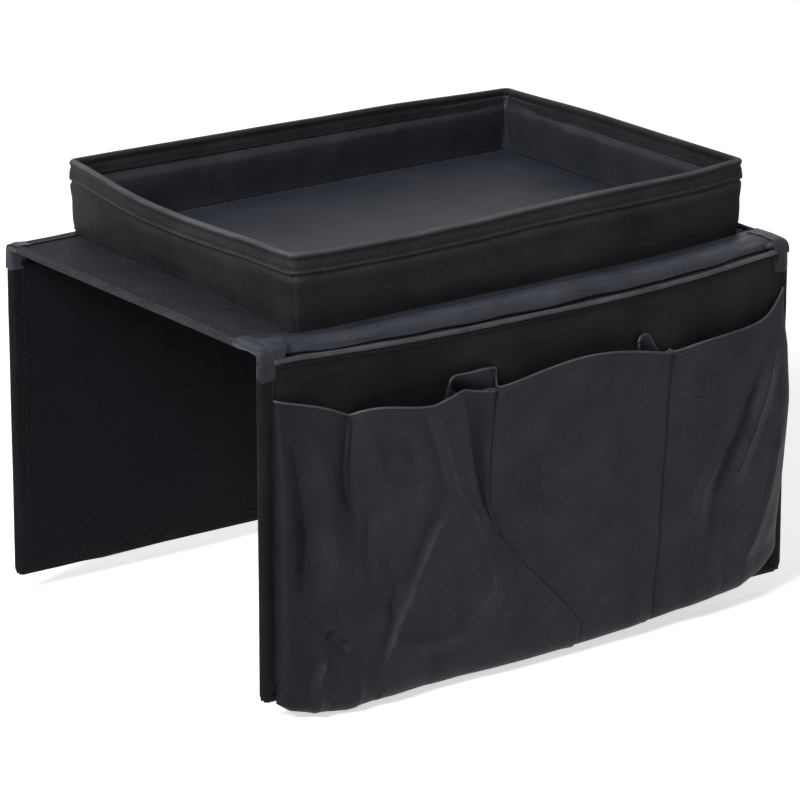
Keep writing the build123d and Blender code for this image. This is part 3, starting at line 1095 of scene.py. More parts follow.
# %% The far fold
def far_fold_point(across, outward_share):
    """A point of the far fold, from the saddle's top down to the far flap's top edge."""
    x = part_way(x_left, x_right, across, fold_inset)
    section = [
        Vector((board_far - 4 * mm, saddle_top + 0.7 * mm)),
        Vector((board_far + 1 * mm, saddle_top + 0.7 * mm)),
        Vector((far_face - 2 * mm, saddle_top + 0.6 * mm)),
        Vector((far_face + 0.4 * mm, saddle_top - 1 * mm)),
        Vector((far_face + 0.8 * mm, far_hinge_z + 1 * mm)),
        Vector((far_face + 0.9 * mm, far_hinge_z - 4 * mm)),
    ]
    flat = soft_line(section, outward_share)
    sway = 0.3 * mm * waves(x, flat.x + flat.y, 22 * mm, 81.0) * math.sin(math.pi * outward_share)
    return Vector((x, flat.x + sway, flat.y + sway))


far_fold_size = (saddle_length, 20 * mm)
far_fold = cloth_sheet("far_fold_cloth", far_fold_point, 160, 24, thickness=thin_cloth)
finish_sheet(
    far_fold, cover_black, None, ["far_fold_strip"], far_fold_size,
    between=("saddle", "far_flap", (0, board_far, saddle_top), (0, far_face, far_hinge_z + 1 * mm)),
)

# %% [markdown]
# Each flap is a board between two cloths, bound along its sides and its lower edge. The
# two flaps are made by one function; only the height of the top edge and the side of
# the product differ.

# %% The flaps
flap_corner = 5.0 * mm
side_row_high = 3 * mm
side_row_low = 8 * mm
low_row_up = 5.4 * mm
low_row_inset = 6 * mm
side_steps = 70
corner_steps = 8


def far_ridge(x):
    """The height of the far flap's top edge, which is straight."""
    return far_hinge_z


flaps = (("near", near_face, -1, near_ridge), ("far", far_face, 1, far_ridge))


def make_flap(name, face_y, sign, top_of):
    """The cloth, the lining, the bindings and the welt of one flap; sign is its side in Y."""
    body = name + "_flap"
    off = Vector((0, sign, 0))
    middle_y = face_y - sign * (stack - cloth) / 2

    def panel(across, down, y, bulge, seed):
        x = part_way(x_left, x_right, across, board_inset)
        z = part_way(top_of(x), flap_low, down, -1.5 * mm)
        wave = bulge * waves(x, z, 60 * mm, seed) + 0.3 * crumple(x, z, seed)
        return Vector((x, y, z)), wave

    def cover_point(across, down):
        point, wave = panel(across, down, face_y, 0.35 * mm, 91.0)
        return point + off * (0.15 * mm + wave)

    def lining_point(across, down):
        point, wave = panel(across, down, face_y - sign * stack, 0.5 * mm, 93.0)
        return point + off * (0.1 * mm + wave)

    size = (saddle_length - 2 * board_inset, flap_depth - 12 * mm)
    cover = cloth_sheet(name + "_flap_cloth", cover_point, 100, 56, turned=sign < 0)
    # The flap cloth carries painted shade over its left part.
    finish_sheet(cover, flap_black, body, [name + "_flap_cover"], size)
    inner = cloth_sheet(name + "_flap_lining_cloth", lining_point, 100, 56, turned=sign > 0)
    finish_sheet(inner, lining_black, body, [name + "_flap_lining"], size)

    for end, edge_x, way in ends:
        top = Vector((edge_x - way * edge_in, middle_y, top_of(edge_x) + 0.5 * mm))
        bend = Vector((edge_x - way * (edge_in + flap_corner), middle_y, flap_low + edge_in + flap_corner))
        places = []
        for i in range(side_steps):
            at = Vector((top.x, middle_y, part_way(top.z, bend.z, i / side_steps)))
            places.append((at, Vector((way, 0, 0)), off))
        for i in range(corner_steps + 1):
            angle = math.pi / 2 * i / corner_steps
            outward = Vector((way * math.cos(angle), 0, -math.sin(angle)))
            places.append((bend + outward * flap_corner, outward, off))
        side, size = binding(
            f"{name}_{end}_tape", places, (binding_width - edge_in, binding_width - edge_in),
            stack - 0.6 * mm, 101.0 + way, turned=(way * sign) > 0,
        )
        finish_sheet(side, tape_black, body, [f"{name}_{end}_binding"], size)
        row_x = edge_x - way * (binding_width - 1.4 * mm)
        for y, shift in ((face_y, 0.62 * mm), (face_y - sign * stack, -0.3 * mm)):
            at_y = y + sign * shift
            row = [Vector((row_x, at_y, z)) for z in (top.z - side_row_high, flap_low + side_row_low)]
            sew(body, row)

    edge_z = flap_low + edge_in
    start = Vector((x_left + flap_corner, middle_y, edge_z))
    finish = Vector((x_right - flap_corner, middle_y, edge_z))
    low, size = binding(
        name + "_lower_tape", straight_places(start, finish, 110, Vector((0, 0, -1)), off),
        (4 * mm, 7 * mm), stack - 0.6 * mm, 111.0, turned=sign < 0,
    )
    finish_sheet(low, tape_black, body, [name + "_bottom_binding"], size)
    inner_y = face_y - sign * (stack + 0.1 * mm)
    row_ends = (start.x + low_row_inset, finish.x - low_row_inset)
    sew(body, [Vector((x, inner_y, edge_z + low_row_up)) for x in row_ends])


for flap in flaps:
    make_flap(*flap)

# %% [markdown]
# Along the top of each flap the cloths are joined in a welt: a thin raised bead with a
# flat band below it. The bead's pale cloth paints a bright highlight along it. On the near
# flap the bead hangs with the flap's top edge, and so does the board inside the flap.

# %% The welts
def make_welt(name, face_y, sign, top_of, band):
    """A bead along a flap's top edge with a band down its outer face."""
    places = []
    steps = 150
    inset = 9.5 * mm
    for i in range(steps + 1):
        x = part_way(x_left, x_right, i / steps, inset)
        places.append(Vector((x, face_y, top_of(x))))
    bead_section = at_mm([
        (-1.2, -0.6), (-1.3, 0.6), (-0.2, 1.5), (1.1, 1.3), (1.7, 0.2), (1.3, -1.0), (0.3, -1.5),
    ])
    inner = -stack / mm
    end = -band / mm
    band_section = at_mm([
        (inner + 0.4, -4.0), (inner + 0.1, -1.5), (inner + 1.2, 0.1), (-1.2, 0.2), (-0.2, -0.4),
        (0.5, -1.3), (0.9, -2.2), (0.9, 0.6 * end), (0.95, end + 0.5), (0.75, end), (0.2, end),
    ])

    def along_top(section):
        def place(across, over):
            at = places[round(across * steps)]
            flat = soft_line(section, over)
            sway = 0.2 * mm * waves(at.x, flat.y * 2, 10 * mm, 121.0)
            return Vector((at.x, face_y + sign * (flat.x + sway), at.z + flat.y + sway))
        return place

    bead = cloth_sheet(name + "_welt_bead", along_top(bead_section), steps, 16, turned=sign < 0,
                       thickness=0.4 * mm)
    finish_trim(bead, name + "_flap")
    size = (saddle_length - 2 * inset, band + 9 * mm)
    welt = cloth_sheet(name + "_welt", along_top(band_section), steps, 30, turned=sign < 0,
                       thickness=0.5 * mm)
    finish_sheet(welt, tape_black, name + "_flap", [name + "_top_welt"], size)


def make_stiffener(name, sign, top_of):
    """A flap's board, whose top edge hangs with the bead above it."""
    low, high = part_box(name + "_flap_board")

    def place(across, up):
        x = part_way(low.x, high.x, across, board_inset)
        top = min(high.z, top_of(x) - 1.6 * mm)
        return Vector((x, low.y if sign < 0 else high.y, part_way(low.z + board_inset, top, up)))

    board = cloth_sheet(name + "_flap_stiffener", place, 60, 8, turned=sign > 0, thickness=high.y - low.y)
    finish_board(board, name + "_flap", name + "_flap_board")


for name, face_y, sign, top_of in flaps:
    make_stiffener(name, sign, top_of)
for flap, band in zip(flaps, (4.2 * mm, 5.5 * mm)):
    make_welt(*flap, band)

# %% [markdown]
# The near pockets are one long strip, fuller than the flap, sewn down at its ends, at
# three seams and along the bottom. The surplus cloth is what gives the pockets room,
# and at two seams it folds back behind itself as a pleat. A maker would see this strip
# as a row of upright lines that each keep their own path: a seam stays on the flap, a
# pocket's front stands off it, and a fold's edge leans as the cloth slides. So the
# strip is written as guides. A guide lists, from the hem down, the depth below the
# saddle's top, the place along the flap and the distance out from it, in millimetres,
# and says how much of the handling creases it takes.

# %% The near pockets' guides
near_left_guides = [
    (0.0, [(28.3, 9.0, 0.9), (187, 9.0, 0.9)]),
    (0.2, [(28.5, 9.7, 2.6), (50, 9.9, 5.6), (110, 10.2, 8.6), (150, 10.6, 8.4), (187, 11, 6.6)]),
    (0.5, [(29.2, 12, 3.8), (50, 12.2, 6.6), (80, 12.6, 9), (110, 13, 10.2), (140, 13.4, 10),
           (187, 15, 9.6)]),
    (1.0, [(31, 19, 5), (50, 22, 3.4), (80, 27, 1.8), (105, 30, 1.6), (125, 30, 3.2), (147, 25, 8),
           (186, 24, 12.6)]),
    (1.0, [(34.5, 34, 8), (70, 36, 9), (110, 40, 10.4), (150, 38, 14), (186, 36, 17)]),
    (1.0, [(40.5, 47, 4.5), (70, 44, 7.5), (95, 44, 10.5), (120, 47, 14), (150, 48, 16.4),
           (186, 48, 19)]),
    (0.6, [(44.3, 54.5, 2.2), (71, 50.5, 4.4), (88, 50, 6), (103, 53, 11), (125, 54.5, 14),
           (186, 55, 18.8)]),
    (0.4, [(45.2, 57, 1.2), (71, 52.8, 2.8), (90, 52.5, 5), (100, 55, 9.6), (125, 57, 13.8),
           (186, 58, 18.8)]),
    (0.6, [(44.5, 59.5, 2.4), (71, 55.6, 4.6), (88, 55.5, 6.6), (103, 59, 11.4), (130, 61, 14.6),
           (186, 61, 19)]),
    (1.0, [(41.8, 64, 7.5), (70, 63, 10), (100, 66, 13), (140, 68, 16), (186, 68, 19.2)]),
    (1.0, [(41.6, 74, 10.5), (80, 76, 13.5), (120, 80, 16), (186, 82, 19.4)]),
    (1.0, [(44, 88, 13), (80, 90, 14.5), (120, 98, 16.2), (186, 102, 19.4)]),
    (1.0, [(45.4, 99, 14.6), (66, 106, 15), (97, 115, 16), (110, 123, 15.8), (125, 129, 16),
           (146, 135, 17), (186, 128, 19.5)]),
    (1.0, [(45, 104, 15.2), (66, 111, 15.6), (97, 120, 16.9), (110, 129, 16.2), (125, 135.8, 16.2),
           (146, 142.4, 17.4), (158, 142.5, 18), (186, 137, 19.5)]),
    (1.0, [(44.6, 105.5, 15), (66, 112.2, 15.2), (97, 121.2, 16.5), (110, 130, 15.8),
           (125, 136.8, 15.9), (146, 143.6, 17.2), (158, 144.5, 18), (186, 140, 19.5)]),
    (0.5, [(42.6, 115, 15), (50, 117.5, 14.6), (66, 120, 14.6), (90, 126.6, 15), (108, 133, 15),
           (125, 140, 15.8), (146, 147, 17), (186, 148, 19.5)]),
    (0.2, [(40.4, 124, 12.8), (50, 127, 12.6), (66, 130, 12.8), (90, 133, 13), (108, 136.6, 13.4),
           (125, 143, 15.4), (146, 151, 17), (186, 157, 19.4)]),
    (0.0, [(43.6, 130.5, 8.4), (50, 131.5, 4.6), (67, 134, 3.6), (87, 136, 3.6), (106, 139, 9),
           (125, 145, 15), (146, 155, 17), (186, 168, 19.3)]),
    (0.0, [(46.6, 139, 4.8), (52, 138.4, 4), (68, 139.2, 3.8), (88, 139.6, 4.2), (106, 140.2, 9.6),
           (125, 146, 15.1), (146, 157, 17.1), (186, 182, 19.2)]),
    (0.2, [(47.6, 147, 6.2), (60, 146.5, 6.8), (72, 145, 7.8), (90, 142.6, 9.6), (108, 141, 12.2),
           (128, 146.6, 15.4), (146, 160.5, 17.4), (172, 185.5, 18.8), (186, 197.5, 19)]),
    (0.2, [(48.9, 151.6, 4.6), (60, 149.4, 6.4), (72, 147.2, 7.6), (90, 144.2, 9.6),
           (108, 141.8, 12.4), (128, 147.8, 15.6), (146, 162, 17.4), (172, 187, 18.8), (186, 199.5, 19)]),
    (0.2, [(48.9, 151.9, 4.0), (60, 149.6, 5.8), (72, 147.4, 7), (90, 144.4, 9), (108, 142, 11.8),
           (128, 148, 15), (146, 162.2, 16.8), (172, 187.2, 18.2), (186, 199.8, 18.4)]),
    (0.0, [(46.5, 150.6, 2.6), (72, 145.6, 4.6), (108, 139.4, 8.6), (128, 145, 12), (146, 157, 14),
           (186, 192, 16)]),
    (0.0, [(50, 129, 3.0), (80, 127, 2.4), (112, 130, 4), (130, 138, 7), (150, 146, 10), (187, 152, 11)]),
    (0.0, [(40.5, 118.6, 4.6), (46, 118, 3), (80, 122, 1.8), (112, 129, 2), (130, 135, 4),
           (150, 143, 6), (187, 148, 6)]),
    (0.0, [(33.4, 121, 6.4), (44, 121, 1.6), (80, 124, 1.2), (130, 138, 2.4), (187, 150, 3)]),
    (0.0, [(34.6, 130, 6.8), (44, 130, 1.0), (80, 132, 1), (130, 142, 1.2), (187, 152, 1.6)]),
    (0.0, [(34.0, 143, 6.0), (45, 143, 0.9), (80, 144, 0.9), (130, 148, 1.2), (187, 154, 1.4)]),
    (0.0, [(36.8, 154.2, 0.9), (187, 155.5, 0.9)]),
]
near_right_guides = [
    (0.0, [(36.8, 154.2, 0.9), (187, 155.5, 0.9)]),
    (0.1, [(44, 153.4, 1.8), (60, 148.4, 4), (72, 146.2, 5.2), (90, 143.2, 7.2), (108, 141, 10),
           (128, 147, 13.2), (146, 161, 15.2), (172, 186, 16.6), (186, 198.6, 16.8)]),
    (0.2, [(47.7, 153.6, 3), (60, 149, 5), (72, 146.8, 6.3), (90, 143.8, 8.4), (108, 141.4, 11.3),
           (128, 147.4, 14.6), (146, 161.4, 16.4), (172, 186.6, 17.8), (186, 199.2, 18)]),
    (0.4, [(46.8, 157, 5.2), (60, 153.5, 7.2), (72, 152, 8.9), (90, 149.6, 10.8), (108, 147.8, 13),
           (128, 153, 15.2), (146, 167, 16.9), (172, 191, 18.2), (186, 203.5, 18.4)]),
    (0.8, [(44.3, 165, 8.4), (90, 163, 12.4), (125, 166, 15), (146, 176, 16.4), (172, 197, 17.8),
           (186, 207, 18)]),
    (1.0, [(38.4, 189, 12.2), (100, 191, 15.2), (150, 197, 16.9), (172, 207, 18), (186, 214, 18.4)]),
    (1.0, [(36.6, 215, 13), (100, 216, 16.4), (150, 219, 17.8), (186, 224, 18.6)]),
    (1.0, [(41, 242, 12.2), (100, 239, 16), (150, 236, 17.6), (186, 236, 18.6)]),
    (0.8, [(45.6, 259, 9), (76, 255, 11.4), (103, 251, 14.2), (150, 247, 16.4), (186, 244, 17.6)]),
    (0.3, [(48.8, 270.5, 5.4), (76, 265.4, 8.2), (103, 260.6, 11.9), (131, 256.2, 14),
           (154, 254.4, 15.4), (186, 249, 16.6)]),
    (0.2, [(49.8, 273.8, 4.2), (76, 268.7, 7.4), (103, 263.8, 11.3), (131, 259.4, 13.6),
           (154, 257.6, 15), (186, 252.6, 16.2)]),
    (0.2, [(50.0, 274.6, 3.5), (76, 269.3, 6.8), (103, 264.4, 10.8), (131, 260, 13.1),
           (154, 258.2, 14.5), (186, 253.2, 15.7)]),
    (0.0, [(48, 272, 2.8), (76, 266, 4.6), (103, 261, 8), (131, 257, 10), (154, 255, 11),
           (186, 249, 12)]),
    (0.0, [(52, 262, 2.6), (70, 258, 2.4), (103, 250, 5), (150, 247, 6), (186, 243, 7)]),
    (0.0, [(47, 251.8, 3.0), (56, 251.6, 2), (103, 248, 2), (150, 245, 3), (186, 241, 3)]),
    (0.0, [(39, 249.6, 3.4), (52, 250.4, 1.6), (103, 248.4, 1.4), (150, 246, 1.6), (186, 242, 1.8)]),
    (0.0, [(35.4, 253.6, 2.6), (46, 254, 1.4), (103, 251, 1.2), (150, 248, 1.4), (186, 244, 1.6)]),
    (0.0, [(36.8, 259.4, 1.8), (50, 259, 1.0), (103, 256, 0.9), (186, 250, 1.0)]),
    (0.0, [(50.5, 266.5, 1.0), (186, 262, 0.9)]),
    (0.0, [(52.6, 273.4, 0.9), (186, 268, 0.9)]),
    (0.0, [(52.4, 274, 0.9), (186, 268.4, 0.9)]),
    (0.1, [(47, 273.6, 1.6), (76, 268.4, 4.8), (103, 263.5, 8.8), (131, 259, 11.2),
           (154, 257.2, 12.6), (186, 252.2, 13.8)]),
    (0.2, [(49.8, 274, 3.1), (76, 268.8, 6.3), (103, 263.9, 10.3), (131, 259.5, 12.6),
           (154, 257.7, 14), (186, 252.7, 15.2)]),
    (0.6, [(49, 279.5, 4.6), (76, 275, 7.8), (103, 270, 11.2), (131, 266, 13.2), (154, 264, 14.6),
           (186, 259, 15.8)]),
    (1.0, [(46, 290, 8), (100, 285, 12.8), (150, 279, 15.6), (186, 270, 17)]),
    (1.0, [(43.8, 314, 9.4), (100, 310, 13.6), (150, 306, 15.4), (184, 298, 16.4)]),
    (1.0, [(42.6, 333, 7.6), (80, 335, 11.2), (120, 335, 13), (160, 330, 13.4), (180, 322, 13)]),
    (0.6, [(39.4, 345, 3.6), (60, 351, 7), (90, 354, 9), (130, 352, 8.6), (165, 347, 8.2),
           (177, 341, 7.8)]),
    (0.2, [(31, 353.4, 1.6), (60, 358.6, 4.2), (90, 360, 5.4), (130, 357, 4.4), (172, 352, 3.6)]),
    (0.0, [(27, 355.6, 1.2), (60, 357, 1.6), (172, 354, 1.6)]),
]

# %% [markdown]
# The creases come from handling: crisp cloth folds in straight tents rather than round
# waves. A crease is a short broken line with a height, plus for a ridge and minus for
# a valley, and a reach on each side. The sharpest folds get a second, narrow tent on
# the same line, which is the edge that catches the light.

# %% The near pockets' creases
near_creases = [
    ([(12, 38), (20, 60), (24, 83), (28, 105), (27, 116), (22, 132), (12, 147)], -1.6, 10, 6.0),
    ([(24, 44), (35, 66), (40, 92), (41, 122), (35, 146)], 1.8, 6.0, 10),
    ([(57, 46), (52.8, 71), (52.5, 90)], 4.0, 1.8, 1.8),
    ([(58, 94), (56, 106), (54.5, 122), (55.5, 138)], 2.4, 3.5, 6),
    ([(63, 100), (61, 118), (62, 140)], -2.0, 6, 5),
    ([(104, 45), (111, 66), (120, 97), (129, 110), (136, 125), (142.5, 146), (142.5, 157),
           (135, 160)], 1.9, 1.8, 4.5),
    ([(98, 46), (105, 68), (113, 97)], -1.6, 7, 4),
    ([(122, 99), (105.5, 116), (91.5, 138), (80, 160), (70, 178), (59, 199)], 2.3, 2.6, 20),
    ([(114, 99), (99, 116), (86, 138), (75, 160), (66, 178)], -1.5, 9, 5),
    ([(141, 113), (147.5, 129), (160, 144), (186, 172)], 0.9, 1.8, 1.8),
    ([(145, 165), (156, 163.5), (167, 162.5)], -2.6, 3.0, 3.5),
    ([(143, 170), (156, 168.5), (168, 166.5)], 1.9, 6, 2.5),
    ([(74, 171), (90, 174.5), (104, 176), (122, 174), (134, 166), (144, 158)], 2.2, 9, 3.5),
    ([(90, 186), (118, 186), (150, 182)], -1.4, 6, 9),
    ([(33, 174), (28, 186), (34, 199)], 2.8, 4.5, 7),
    ([(33, 174), (28, 186), (34, 199)], 1.0, 1.8, 1.8),
    ([(9.5, 193), (18, 196), (28, 197.7)], -2.0, 3, 3),
    ([(46, 190), (61, 195)], -2.4, 3.5, 3.5),
    ([(34, 159), (40, 165), (46, 170)], -3.4, 6, 6),
    ([(16, 152), (34, 154), (48, 166)], 2.0, 5, 10),
    ([(36, 172), (46, 178), (54, 190)], 2.0, 6, 5),
    ([(66, 60), (75, 88), (76, 112)], 1.8, 6, 10),
    ([(86, 56), (94, 86), (90, 104)], -1.6, 10, 6),
    ([(62, 70), (72, 82), (86, 88)], 1.6, 7, 4),
    ([(70, 120), (78, 140), (74, 158)], -1.5, 7, 7),
    ([(100, 130), (112, 146), (108, 164)], 1.3, 6, 9),
    ([(347, 58), (327, 100), (309, 132)], 2.8, 5, 9),
    ([(347, 58), (327, 100), (309, 132)], 0.8, 1.8, 1.8),
    ([(338, 66), (318, 100), (300, 132), (292, 160)], -2.2, 8, 5),
    ([(324, 80), (302, 110), (288, 128), (280, 154)], 2.4, 5, 9),
    ([(352, 104), (340, 146), (322, 180)], 2.0, 5, 8),
    ([(176, 60), (188, 100), (206, 140)], 0.9, 12, 20),
    ([(250, 70), (238, 110), (232, 150)], -0.9, 14, 14),
    ([(206, 150), (224, 168), (246, 188)], 1.2, 8, 12),
]
near_low_line = [
    (9, 197.5), (16, 202.4), (28, 205.4), (47, 207.6), (67, 205.8), (127, 205.6), (168, 205.6), (210, 204.6),
    (253, 202.4), (275, 200.2), (298, 199.0), (321, 197.6), (339, 192.2), (350, 185.6), (356, 179.6),
]

# %% [markdown]
# Between the guides the cloth follows a soft curve, and below the last mark of each
# guide it rounds under to the sewn edge, so the pocket's belly hangs a little past the
# flap. The hem is a doubled edge with its own row of stitches, and a rolled bead along
# its top. The columns of the grid are spread by the cloth's own length, so a tight
# fold doesn't starve the broad front of them.

# %% The pocket strips
foot_share = 0.88
belly_power = 0.62
hem_band = 6.0
hem_stitch_drop = 4.8
sewn_out = 0.9
row_power = 1.1
halvings = 12
hem_radius = 0.65 * mm
hem_bead_out = 0.3 * mm


def guide_mark(guide, down):
    """Place along, distance out and depth of a guide at a share of its length down."""
    marks = guide[1]
    depth = part_way(marks[0][0], marks[-1][0], down)
    along, out = read_table(marks, depth)
    return Vector((along, out, depth))


def spread_columns(guides, columns):
    """Shares across the guides for each column of the grid, even along the cloth."""
    samples = 40 * (len(guides) + 1)
    marks = [guide_mark(guide, 0.4) for guide in guides]
    travelled = [0.0]
    before = soft_line(marks, 0.0)
    for i in range(1, samples + 1):
        point = soft_line(marks, i / samples)
        travelled.append(travelled[-1] + (point - before).length + 0.012)
        before = point
    shares = []
    at = 0
    for column in range(columns + 1):
        goal = travelled[-1] * column / columns
        while at < samples and travelled[at + 1] < goal:
            at += 1
        low = travelled[at]
        high = travelled[min(at + 1, samples)]
        part = (goal - low) / (high - low) if high > low else 0.0
        shares.append(min((at + part) / samples, 1.0))
    shares[-1] = 1.0
    return shares


def distance_to_line(x, y, line):
    """How far a place is from a broken line, how far along it from 0 to 1, and its side."""
    best = 1e9
    share = 0.0
    left = True
    count = len(line) - 1
    for i in range(count):
        ax, ay = line[i]
        bx, by = line[i + 1]
        dx, dy = bx - ax, by - ay
        t = ((x - ax) * dx + (y - ay) * dy) / (dx * dx + dy * dy)
        t = min(max(t, 0.0), 1.0)
        away = math.hypot(x - ax - dx * t, y - ay - dy * t)
        if away < best:
            best = away
            share = (i + t) / count
            left = dx * (y - ay) - dy * (x - ax) > 0
    return best, share, left


def boxed_creases(creases):
    """Each crease with the box outside which it does nothing."""
    boxed = []
    for line, height, left_reach, right_reach in creases:
        reach = max(left_reach, right_reach)
        xs, ys = zip(*line)
        box = (min(xs) - reach, max(xs) + reach, min(ys) - reach, max(ys) + reach)
        boxed.append((line, height, left_reach, right_reach, box))
    return boxed


def crease_height(creases, x, y):
    """The height of the creases at a place on the strip, in millimetres."""
    total = 0.0
    for line, height, left_reach, right_reach, box in creases:
        if box[0] < x < box[1] and box[2] < y < box[3]:
            away, share, left = distance_to_line(x, y, line)
            reach = left_reach if left else right_reach
            peak = max(0.0, 1 - math.sqrt(away * away + 0.09) / reach) ** 1.2
            total += height * peak * min(1.0, 5 * share + 0.15, 5 * (1 - share) + 0.15)
    return total


def crisp(x, y, seed):
    """Creased unevenness of stiff cloth: sharp lines where slow noise crosses zero."""
    first = abs(waves(x, y * 0.7, 34.0, seed))
    second = abs(waves(x * 0.8, y, 17.0, seed + 5))
    return 0.9 * min(first * 2.2, 1.0) + 0.4 * min(second * 2.2, 1.0) - 0.8


def make_pockets(name, side, face_y, sign, fabric, guides, creases, low_line, columns, rows, flat):
    """One strip of pockets on a flap, with its rolled hem and its stitches."""
    body = side + "_flap"
    shares = spread_columns(guides, columns)
    takes = [Vector((guide[0], guide[1][0][0])) for guide in guides]
    boxed = boxed_creases(creases)
    row_marks = {}

    def shape(across, down):
        """Place along, distance out and depth, in millimetres, and the depth of the hem."""
        if down not in row_marks:
            row_marks[down] = [guide_mark(guide, min(down / foot_share, 1.0)) for guide in guides]
        point = soft_line(row_marks[down], across)
        take, hem_depth_here = soft_line(takes, across)
        below_hem = point.z - hem_depth_here
        if take > 0.02:
            fade = ease(0.0, 14.0, below_hem)
            uneven = 1.5 * crumple(point.x * mm, point.z * mm, 131.0) / mm
            uneven += 1.1 * crisp(point.x, point.z, 137.0) * fade
            point.y += take * (crease_height(boxed, point.x, point.z) + uneven * (0.3 + 0.7 * fade))
        if down > foot_share:
            turn = (down - foot_share) / (1 - foot_share) * math.pi / 2
            lowest = read_table(low_line, point.x)[0]
            point.z += (lowest - point.z) * math.sin(turn) ** belly_power
            point.y = sewn_out + (point.y - sewn_out) * max(math.cos(turn), 0.0) ** belly_power
        doubled = 0.3 * (1 - ease(hem_band - 0.6, hem_band + 0.4, below_hem))
        groove = 0.35 * max(0.0, 1 - abs(below_hem - hem_stitch_drop) / 0.9)
        point.y += doubled - groove
        return point, below_hem

    def on_flap(point):
        return Vector((x_left + point.x * mm, face_y + sign * point.y * mm, saddle_top - point.z * mm))

    def place(across, down):
        return on_flap(shape(shares[round(across * columns)], down ** row_power)[0])

    strip = cloth_sheet(name, place, columns, rows, turned=sign < 0)

    hem_path = [on_flap(shape(share, 0.0)[0]) for share in shares]

    def bead(across, around):
        index = round(across * columns)
        along = hem_path[min(index + 1, columns)] - hem_path[max(index - 1, 0)]
        along.normalize()
        side = along.cross(Vector((0, 0, 1))).normalized()
        up = side.cross(along)
        angle = 2 * math.pi * around
        ring = side * math.cos(angle) + up * math.sin(angle)
        return hem_path[index] + ring * hem_radius - Vector((0, sign * hem_bead_out, 0))

    hem = cloth_sheet(name + "_hem", bead, columns, 8, closed=True, thickness=0.3 * mm)
    finish_trim(hem, body)
    finish_sheet(strip, fabric, body, [side + "_pocket_strip"], flat)

    stitch_line = []
    for share in shares[3:-3:2]:
        low_down, high_down = 0.0, 0.2
        for _ in range(halvings):
            middle = (low_down + high_down) / 2
            if shape(share, middle)[1] < hem_stitch_drop:
                low_down = middle
            else:
                high_down = middle
        point = shape(share, middle)[0]
        point.y += 0.15
        stitch_line.append(on_flap(point))
    sew(body, stitch_line)
    return on_flap


# The left strip's cloth paints shade over its left part.
on_near_flap = make_pockets(
    "near_left_pockets", "near", near_face, -1, pocket_black_painted_shade, near_left_guides, near_creases,
    near_low_line, columns=320, rows=136, flat=(268 * mm, 176 * mm),
)
make_pockets(
    "near_right_pockets", "near", near_face, -1, pocket_black, near_right_guides, near_creases,
    near_low_line, columns=320, rows=136, flat=(300 * mm, 176 * mm),
)

# %% [markdown]
# The first seam divides the small pocket from its neighbour only down to a bar of close
# stitches, and below it the two share one belly. It shows as two rows of thread.

# %% The first seam's stitches
first_seam = [(57.2, 46.5, 2.2), (55.2, 58, 2.8), (52.9, 71, 3.8), (52.4, 82, 4.8), (52.3, 92, 6.4)]
row_aside = 0.9
row_out = 0.5
for aside in (-row_aside, row_aside):
    sew("near_flap", [on_near_flap(Vector((x + aside, out + row_out, z))) for x, z, out in first_seam])
bar_ends = (49.6, 55.6)
bar_out = 6.9
bar_depth = 92.8
bar = [on_near_flap(Vector((along, bar_out, bar_depth))) for along in bar_ends]
sew("near_flap", bar)
bar_shift = Vector((1.4 * mm, 0, -0.5 * mm))
sew("near_flap", [point + bar_shift for point in bar])

# %% [markdown]
# The far flap's outer face isn't seen in the photograph. It gets a plainer strip with
# two wide pockets, as on tray organizers of this kind, in the same cloth.

# %% The far pockets
far_guides = [
    (0.0, [(46, 10.6, 0.9), (186, 10.6, 0.9)]),
    (0.4, [(46, 14, 3), (186, 14, 4)]),
    (1.0, [(46.5, 30, 6), (120, 30, 7), (186, 30, 8)]),
    (1.0, [(48, 70, 7), (120, 70, 9), (186, 70, 10)]),
    (1.0, [(48.5, 110, 7), (120, 110, 9), (186, 110, 10)]),
    (1.0, [(47.5, 150, 6.4), (120, 150, 8), (186, 150, 9)]),
    (0.4, [(47, 172, 4), (186, 172, 5)]),
    (0.0, [(47, 178.5, 0.9), (186, 178.5, 0.9)]),
    (0.0, [(47, 181.5, 0.9), (186, 181.5, 0.9)]),
    (0.4, [(47, 188, 4), (186, 188, 5)]),
    (1.0, [(47.5, 210, 6.4), (120, 210, 8), (186, 210, 9)]),
    (1.0, [(48.5, 250, 7), (120, 250, 9), (186, 250, 10)]),
    (1.0, [(48, 290, 7), (120, 290, 9), (186, 290, 10)]),
    (1.0, [(46.5, 330, 6), (120, 330, 7), (186, 330, 8)]),
    (0.4, [(46, 346, 3), (186, 346, 4)]),
    (0.0, [(46, 349.4, 0.9), (186, 349.4, 0.9)]),
]
far_creases = [
    ([(40, 60), (70, 110), (60, 160)], 1.8, 9, 14),
    ([(150, 70), (120, 120), (130, 180)], 1.6, 8, 12),
    ([(60, 170), (100, 176), (150, 168)], -1.4, 9, 9),
    ([(230, 60), (214, 110), (222, 170)], 1.7, 8, 12),
    ([(330, 80), (300, 120), (280, 170)], 2.0, 8, 12),
    ([(250, 150), (290, 180)], -1.4, 10, 10),
]
far_low_line = [(10, 196.0), (60, 198.5), (178, 196.5), (182, 196.5), (300, 198.5), (350, 196.0)]
make_pockets(
    "far_pockets", "far", far_face, 1, pocket_black, far_guides, far_creases, far_low_line,
    columns=240, rows=100, flat=(370 * mm, 158 * mm),
)

# %% [markdown]
# All the seams are known now, so the stitches can be laid. They ride with the body that
# carries the seam.

# %% Lay the stitches
for body in stitch_rows:
    lay_stitches(body)

# %% [markdown]
# The studio is plain: a pale floor that fades to white, a strong soft lamp high on the
# left, and weak ones above the far side and in front. The floor and the world look white
# to the camera and to reflections, but light the product only a little.

